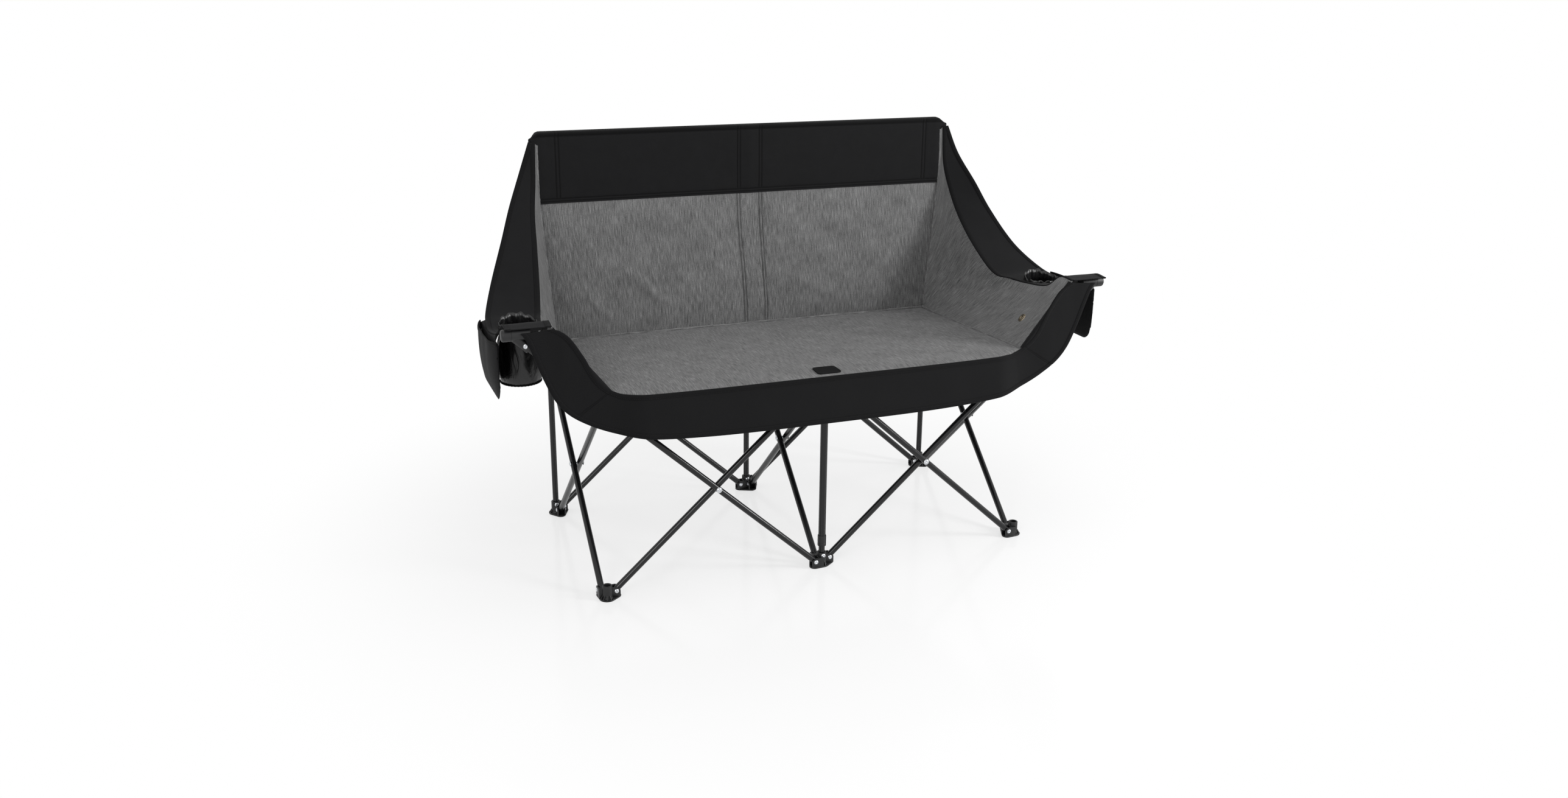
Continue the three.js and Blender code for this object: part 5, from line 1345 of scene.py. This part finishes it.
sides = (("left", True), ("right", False))
for side_name, mirror in sides:
    body, sign = f"front_hub_{side_name}", -1 if mirror else 1
    panel = cloth_piece(f"side_panel_{side_name}_melange", panel_grid, grey_melange, body,
                        [f"side_panel_{side_name}"], 2.0, mirror, held="stretched",
                        rests_on=["seat_pad", f"hub_front_{side_name}"])
    eyelet = eyelet_frame(mirror)
    cut_from(panel, [placed(turned([(0, -8), (4.9, -8), (4.9, 8), (0, 8)], 28), eyelet)])
    follow_frame(panel)
    eyelet_half = [(4, 2.2), (4.5, 2.9), (5.6, 3.1), (6.6, 2.6), (7.4, 2.4), (8.6, 2.7), (9.8, 2.4), (11, 1.3),
                   (11, 0.9), (4.8, 0.9)]
    ring = [(r, -z) for r, z in eyelet_half] + eyelet_half[::-1] + [(4, -2.2)]
    follow_frame(piece(f"grommet_{side_name}_rolled", placed(turned(ring, 44), eyelet), antique_brass, body,
                       [f"grommet_{side_name}"], crisp=50), np.array(eyelet)[:3, 3])
    wing = cloth_piece(f"arm_wing_{side_name}_oxford", wing_grid, black_oxford, body,
                       [f"arm_wing_{side_name}"], CLOTH, mirror, held="stretched",
                       rests_on=[f"arm_end_{side_name}", f"post_back_{side_name}"])
    hole = moved(turned([(0, 0), (40.2, 0), (40.2, 60), (0, 60)], 48), sign * CUP[0], CUP[1], 552)
    slot = placed(stacked([[(x, y, z) for x, y in [(60, 6), *arc((0, 0), 6, math.pi / 2, 1.5 * math.pi, 12),
                                                   (60, -6)]] for z in (0, 90)]),
                  Matrix.Translation((sign * SLOT_X, SLOT_Y, 560)) @ Matrix.Rotation(mirror * math.pi, 4, "Z"))
    cut_from(wing, [hole, slot])
    follow_frame(wing)
    bound(f"arm_wing_{side_name}", wing_grid[:, :196], ["high"], body, mirror)
    bound(f"arm_wing_front_{side_name}", wing_grid[:, 213:], ["high"], body, mirror)
    path, inward, normal = edge_frame(sided(wing_grid, mirror), "low")
    tape = [(-3.4, 0.9), (-3.0, 1.6), (9.0, 1.6), (9.5, 0.9), (9.5, -0.9), (9.0, -1.6), (-3.0, -1.6), (-3.4, -0.9)]
    strip_piece(f"arm_seam_{side_name}", [(path, inward, normal, tape)], black_tape, body)
    stitch_piece(f"arm_seam_{side_name}_stitches", both_faces(path + inward * 7.2, normal, 1.65), black_thread, body)
    # slot edges are overcast with a narrow tape
    rim = [(sign * (SLOT_X - SLOT_TAPE * math.sin(a)), SLOT_Y + SLOT_TAPE * math.cos(a))
           for a in np.linspace(0, math.pi, 13)]
    rim = [(sign * x, SLOT_Y + SLOT_TAPE) for x in np.linspace(SLOT_X + 18, SLOT_X + 2, 6)] + rim
    rim += [(sign * x, SLOT_Y - SLOT_TAPE) for x in np.linspace(SLOT_X + 2, SLOT_X + 18, 6)]
    flat_wing = sided(wing_grid, mirror).reshape(-1, 3)
    heights = [flat_wing[np.argmin((flat_wing[:, 0] - x) ** 2 + (flat_wing[:, 1] - y) ** 2), 2] for x, y in rim]
    path = resampled(np.column_stack([rim, evened(heights, 3)]), 2)
    strip_piece(f"glass_slot_{side_name}_binding", [roll(path, 1.7)], black_tape, body)
    here = Matrix.Translation((sign * CUP[0], CUP[1], 0))
    cup = piece(f"cup_pocket_{side_name}_taffeta", placed(turned(cup_outline, 96, wave=cup_wave), here), black_taffeta,
                body, [f"cup_pocket_{side_name}"])
    # a wall 128 mm high round a radius of 43 mm and a round floor, laid out on 290 by 170 mm
    follow_frame(cup)
    hoops = []
    for radius, z, thick in ((40.6, 578.2, 2.3), (42.4, 460.6, 1.9)):
        section = [(radius + thick * math.cos(a), z + thick * math.sin(a)) for a in np.arange(13) * math.pi / 6]
        section[-1] = section[0]
        pleated = turned(section, 144, wave=lambda r, z, a: (0.35 * np.sin(a * 38), 0.3 * np.sin(a * 38 + 1)))
        hoops.append(placed(pleated, here))
    follow_frame(piece(f"cup_pocket_{side_name}_casings", merged(*hoops), black_tape, body,
                       uv=np.zeros((sum(len(h[0]) for h in hoops), 2)), slot="nylon"))
    pouch_grid = pocket_grid()
    pouch = cloth_piece(f"side_pocket_{side_name}_oxford", pouch_grid, black_oxford, body,
                        [f"side_pocket_{side_name}"], 1.4, mirror, held="hung", rests_on=[f"arm_wing_{side_name}"])
    follow_frame(pouch)
    bound(f"side_pocket_{side_name}", pouch_grid[20:], ["high"], body, mirror, 7, 1.4, 5.2)
    lips = sided(pouch_grid, mirror)
    strip_piece(f"side_pocket_{side_name}_ends", [roll(resampled(lips[20:-1, k], 3), 1.5) for k in (0, -1)],
                black_oxford, body)

# Front band
CORNER_SEAMS = (0.2655, 0.7345)
BAND_RUN = 1900
beside_seam = [1.6, 2.6, 3.4, 4, 4.8, 6]
beside_seam = np.array([-off for off in beside_seam[::-1]] + [0] + beside_seam)
u = np.unique(np.concatenate([evenly(320), *[beside_seam / BAND_RUN + seam for seam in CORNER_SEAMS]]))
v = evenly(28)
U, V = np.meshgrid(u, v)
apron_grid = apron_surface(u, v)
apron_relief = ripples(lengths_over(apron_grid) / MM, 8, 120, 1.0, 17) * np.sin(math.pi * V)
sunk = sum(groove((U - seam) * BAND_RUN - off, 2.4) for seam in CORNER_SEAMS for off in (-4, 4))
apron_grid += normals_of(apron_grid) * (apron_relief - sunk)[..., None]
apron = cloth_piece("front_band_oxford", apron_grid, shaded_front_oxford, "seat_hub", ["front_band"], CLOTH,
                    held="stretched", rests_on=["seat_pad", "arm_end_left", "arm_end_right"])
# the corner seams' grooves are darkened in colour as well: painted shade
store_darkening(apron, sunk)
follow_frame(apron)
bound("front_band", apron_grid, ["low", "high"], "seat_hub")
rows = []
for seam in CORNER_SEAMS:
    for off in (-3.4, 3.4):
        k = nearest(u, seam + off / BAND_RUN)
        rows += both_faces(apron_grid[2:-2, k], normals_of(apron_grid)[2:-2, k], 1.0)
stitch_piece("front_band_corner_stitches", rows, black_thread, "seat_hub")

# Facings close the band's top edge against the front edges of the sides and wings
brink = resampled(np.concatenate([side_surface(np.array([1.0]), evenly(40))[:, 0],
                                  wing_surface(np.array([1.0]), evenly(40))[:, 0]]), 1.5)
for side_name, mirror in sides:
    line = apron_surface(np.linspace(0.5, 1, 260), np.array([1.0]))[0]
    line = line[line[:, 0] > SEAT_HALF - 4]
    edge = brink[np.argmin(np.linalg.norm(line[:, None] - brink[None], axis=2), axis=1)]
    edge[:, 0], edge[:, 2] = (evened(edge[:, k], 4) for k in (0, 2))
    up = unit(np.cross(np.gradient(edge, axis=0), [0, 1, 0]))
    up *= np.sign(up[:, [2]] - up[:, [0]] * 0.5)
    grid = np.stack([line + [0, 0.4, 0] - up * 3, line + [0, 0.4, 0] + up * 1.2, edge + [0, -0.8, 0] + up * 1.8,
                     edge + [0, 4.5, 0] + up * 1.9, edge + [0, 9.5, 0] + up * 1.6])
    follow_frame(cloth_piece(f"front_facing_{side_name}", grid, black_oxford, "seat_hub", (), 1.6,
                             mirror, held="stretched", rests_on=["front_band_oxford"]))

# Back band: a channel that slips over the posts, with seams beside each of them and a double hem
BAND_SEAMS = (-470, -462, -31, -24, 24, 31, 462, 470)
front, rear, bend = 232.2 + CLOTH / 2, 259.8 - CLOTH / 2, 930
HEM_SEAMS = (BAND_LOW + 4, BAND_LOW + 10, BAND_TOP - 11)
heights = with_seams(BAND_LOW, bend, 6, HEM_SEAMS)
turn = np.linspace(0, math.pi, 11)[1:-1]
reach = np.concatenate([np.zeros(len(heights)), (1 - np.cos(turn)) / 2, np.ones(len(heights))])
level = np.concatenate([heights, bend + 4.1 * np.sin(turn), heights[::-1]])
x = with_seams(-528, 528, 6, BAND_SEAMS)
X, R = np.meshgrid(x, reach)
Z = np.repeat(level[:, None], len(x), 1)
closing = eased_step(np.abs(X), 508, 528)
drop = 15 * eased_step(np.abs(X), 500, 528) ** 1.5
Z = Z - drop * clamped((Z - BAND_LOW) / (BAND_TOP - BAND_LOW), 0, 1)
Y = between(front, rear, R * (1 - 0.82 * closing))
face = np.where(R < 0.5, -1, 1) * (1 - np.sin(math.pi * R))
flat = np.stack([X, Z], -1)
swell = ripples(flat, 8, 150, 0.7, 19) * np.sin(math.pi * clamped((Z - BAND_LOW) / 150, 0, 1))
swell += 1.8 * sum(groove(X - post, 11) for post in (-BAY, 0, BAY))
sunk = sum(groove(X - seam) for seam in BAND_SEAMS) * (Z > BAND_LOW + 12)
sunk = clamped(sunk + sum(groove(Z - seam) for seam in HEM_SEAMS), 0, 1)
swell -= 1.2 * sunk
# the top 8 to 10 mm of the band is darkened as well
sunk = np.maximum(sunk, 0.7 * eased_step(Z, BAND_TOP - 10, BAND_TOP - 8))
swell += 1.0 * eased_step(Z, BAND_TOP - 10, BAND_TOP - 6)
Y += face * swell
band_grid = np.stack([X, Y, Z], -1)
band = cloth_piece("back_band_oxford", band_grid, black_oxford, "base", ["back_band"], CLOTH,
                   held="hung", rests_on=["post_back_left", "post_back_centre", "post_back_right"])
# the seams' and hems' grooves are darkened in colour: painted shade
store_darkening(band, sunk)
follow_frame(band)
rows = []
# the stitches lie on the face that looks outwards
outward = normals_of(band_grid)
outward *= np.sign(-outward[10, len(x) // 2, 1])
for seam in HEM_SEAMS:
    for k in (nearest(heights, seam), len(level) - 1 - nearest(heights, seam)):
        rows.append(stitches(band_grid[k, 3:-3] + outward[k, 3:-3], outward[k, 3:-3]))
low, high = nearest(heights, BAND_LOW + 16), nearest(heights, BAND_TOP - 13)
for seam in BAND_SEAMS:
    k = nearest(x, seam)
    rows.append(stitches(band_grid[low:high, k] + outward[low:high, k], outward[low:high, k]))
stitch_piece("back_band_stitches", rows, black_thread, "base")

# Sleeves round the posts, of cloth whose middle lies 8.5 mm from the post's axis
for name, x in (("left", -BAY), ("centre", 0), ("right", BAY)):
    heights = np.linspace(461, 770, 60)
    outline = [(9.3, z) for z in heights] + [(7.6, z) for z in heights[::-1]] + [(9.3, heights[0])]
    form = turned(outline, 44, -math.pi / 2,
                  lambda r, z, a: (0.5 * math.sin(z / 19) * np.sin(a * 2 + z / 60) + 0.25 * np.sin(a * 5 + z / 9), 0))
    form = placed(form, Matrix.Translation((x, BAY / 2, 0)))
    ring = form[0] - np.array([x, BAY / 2, 0])
    uv = np.column_stack([np.mod(np.arctan2(ring[:, 0], -ring[:, 1]) + 2 * math.pi, 2 * math.pi) * 0.0085,
                          ring[:, 2] * MM])
    sleeve = piece(f"back_sleeve_{name}_melange", form, grey_melange, "base", [f"back_sleeve_{name}"],
                   uv)
    follow_frame(sleeve)

# The outer sleeves are sewn to the back's sides by a seam of their own
z = np.linspace(463, 768, 80)
for side_name, mirror in sides:
    edge = back_edge_x(z)
    away = unit(np.stack([edge - BAY, np.full(z.shape, 236.8 - BAY / 2)], -1))
    ends = np.stack([BAY + 8.6 * away[:, 0], BAY / 2 + 8.6 * away[:, 1]], -1)
    grid = np.array([np.column_stack([
        between(edge - 3, ends[:, 0], t),
        between(236.8, ends[:, 1], t) + 1.2 * math.sin(math.pi * t) * np.sin(z / 23), z]) for t in evenly(5)])
    follow_frame(cloth_piece(f"sleeve_seam_{side_name}", grid, grey_melange, "base", (), 1.6, mirror,
                             False, held="stretched", rests_on=["back_pad", f"back_sleeve_{side_name}_melange"]))

# Patch: a bare rubber badge with a raised rim, sewn on the seat's front edge
PATCH_CORNER = 9
outline = [p for k, (x, y) in enumerate([(18, 13), (-18, 13), (-19, -13), (19, -13)])
           for p in arc((x, y), PATCH_CORNER, k * math.pi / 2, (k + 1) * math.pi / 2, 8)]
patch_levels = [(0, 0.6), (0.4, 0), (1.5, 0), (2.0, 0.5), (2.0, 1.6), (1.5, 2.1), (1.5, 3.2)]
patch_points, patch_faces = layered(outline, patch_levels)
patch_points = patch_points + np.array([0, NOSE_Y + 31, 0])
seat_top = (places_of(seat.data) - SHIFT) / MM
seat_top = seat_top[(np.abs(seat_top[:, 0]) < 60) & (seat_top[:, 1] < -200)]
seat_middle = seat_surface(seat_top[:, 0], (seat_top[:, 1] - NOSE_Y) / (SEWN_REAR_Y - NOSE_Y))
seat_top = seat_top[seat_top[:, 2] > seat_middle[:, 2]]
near = np.argsort(np.linalg.norm(patch_points[:, None, :2] - seat_top[None, :, :2], axis=2), axis=1)[:, :6]
patch_points[:, 2] += seat_top[near, 2].mean(1) + 0.5
follow_frame(piece("seat_patch_moulded", (patch_points, patch_faces), moulded_rubber, "seat_hub",
                   ["seat_patch"], crisp=40))

# Lights, floor and camera

world = bpy.data.worlds.new("studio")
scene.world = world
world.use_nodes = True
tree = world.node_tree
tree.nodes.clear()
# pure white where it is seen straight, mirrored or through something, and dimmer as a light
ray = put(tree, "ShaderNodeLightPath")
seen = put(tree, "ShaderNodeMath", {0: ray.outputs["Is Camera Ray"], 1: ray.outputs["Is Glossy Ray"]},
           operation="MAXIMUM")
seen = put(tree, "ShaderNodeMath", {0: seen.outputs[0], 1: ray.outputs["Is Transmission Ray"]}, operation="MAXIMUM")
strength = put(tree, "ShaderNodeMapRange", {"Value": seen.outputs[0], "To Min": 0.7, "To Max": 1.0})
sky = put(tree, "ShaderNodeBackground", {"Color": (1, 1, 1, 1), "Strength": strength.outputs[0]})
put(tree, "ShaderNodeOutputWorld", {"Surface": sky.outputs[0]})

# Seamless white acrylic sheet: a polished floor that keeps soft shadows and faint reflections
acrylic, tree = new_finish("white_acrylic_floor")
place = put(tree, "ShaderNodeTexCoord").outputs["Object"]
distance = put(tree, "ShaderNodeVectorMath", {0: place}, operation="LENGTH")
# 0.6 m from its middle the sheet starts to fade into the white round it, and at 1.35 m it is gone
fade = put(tree, "ShaderNodeMapRange", {"Value": distance.outputs["Value"], "From Min": 0.6, "From Max": 1.35,
                                        "To Min": 0.65, "To Max": 1.0}, interpolation_type="SMOOTHSTEP")
ray = put(tree, "ShaderNodeLightPath")
seen = put(tree, "ShaderNodeMath", {0: ray.outputs["Is Camera Ray"], 1: ray.outputs["Is Glossy Ray"]},
           operation="MAXIMUM")
veil = put(tree, "ShaderNodeMath", {0: fade.outputs[0], 1: seen.outputs[0]}, operation="MULTIPLY")
haze = put(tree, "ShaderNodeTexNoise", {"Vector": place, "Scale": 9.0, "Detail": 2.0})
gloss = put(tree, "ShaderNodeMapRange", {"Value": haze.outputs[0], "To Min": 0.1, "To Max": 0.2})
board = put(tree, "ShaderNodeBsdfPrincipled", {"Base Color": linear("#f2f2f2"), "Roughness": gloss.outputs[0],
                                               "Specular IOR Level": 0.4})
white = put(tree, "ShaderNodeEmission", {"Color": (1, 1, 1, 1), "Strength": 1.0})
sheet = put(tree, "ShaderNodeMixShader", {0: veil.outputs[0], 1: board.outputs[0], 2: white.outputs[0]})
put(tree, "ShaderNodeOutputMaterial", {"Surface": sheet.outputs[0]})
ground = bpy.data.meshes.new("floor")
ground.from_pydata([(-9, -9, 0), (9, -9, 0), (9, 9, 0), (-9, 9, 0)], [], [(0, 1, 2, 3)])
ground.materials.append(acrylic)
floor = bpy.data.objects.new("floor", ground)
scene.collection.objects.link(floor)
floor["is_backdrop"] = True


def softbox(name, place, target, width, height, power):
    lamp = bpy.data.lights.new(name, "AREA")
    lamp.shape, lamp.size, lamp.size_y, lamp.energy = "RECTANGLE", width, height, power
    light = bpy.data.objects.new(name, lamp)
    scene.collection.objects.link(light)
    light.location = place
    light.rotation_euler = (Vector(target) - Vector(place)).to_track_quat("-Z", "Y").to_euler()


softbox("top_softbox", (0.2, -0.4, 3.2), (0, 0, 0.4), 1.4, 1.2, 7)
softbox("front_softbox", (-2.5, -2.7, 2.1), (0, 0, 0.5), 0.7, 1.7, 30)
softbox("right_softbox", (2.6, -1.9, 1.55), (-0.1, 0, 0.6), 0.5, 1.4, 66)

# the camera as it was fitted to the photograph: its lens, its place and the three ways that it faces
lens = bpy.data.cameras.new("camera")
lens.lens, lens.sensor_width = 31.31, 36
camera = bpy.data.objects.new("camera", lens)
scene.collection.objects.link(camera)
right, up, ahead = (0.92986, -0.36773, 0.01131), (0.10594, 0.29707, 0.94896), (0.35232, 0.88120, -0.31519)
camera.matrix_world = Matrix.Translation((-1.13553, -2.84869 + SHIFT[1], 1.33806)) @ Matrix(
    [[right[k], up[k], -ahead[k]] for k in range(3)]).to_4x4()
scene.camera = camera
scene.view_settings.view_transform = "Standard"

bpy.context.view_layer.update()
low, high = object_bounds()
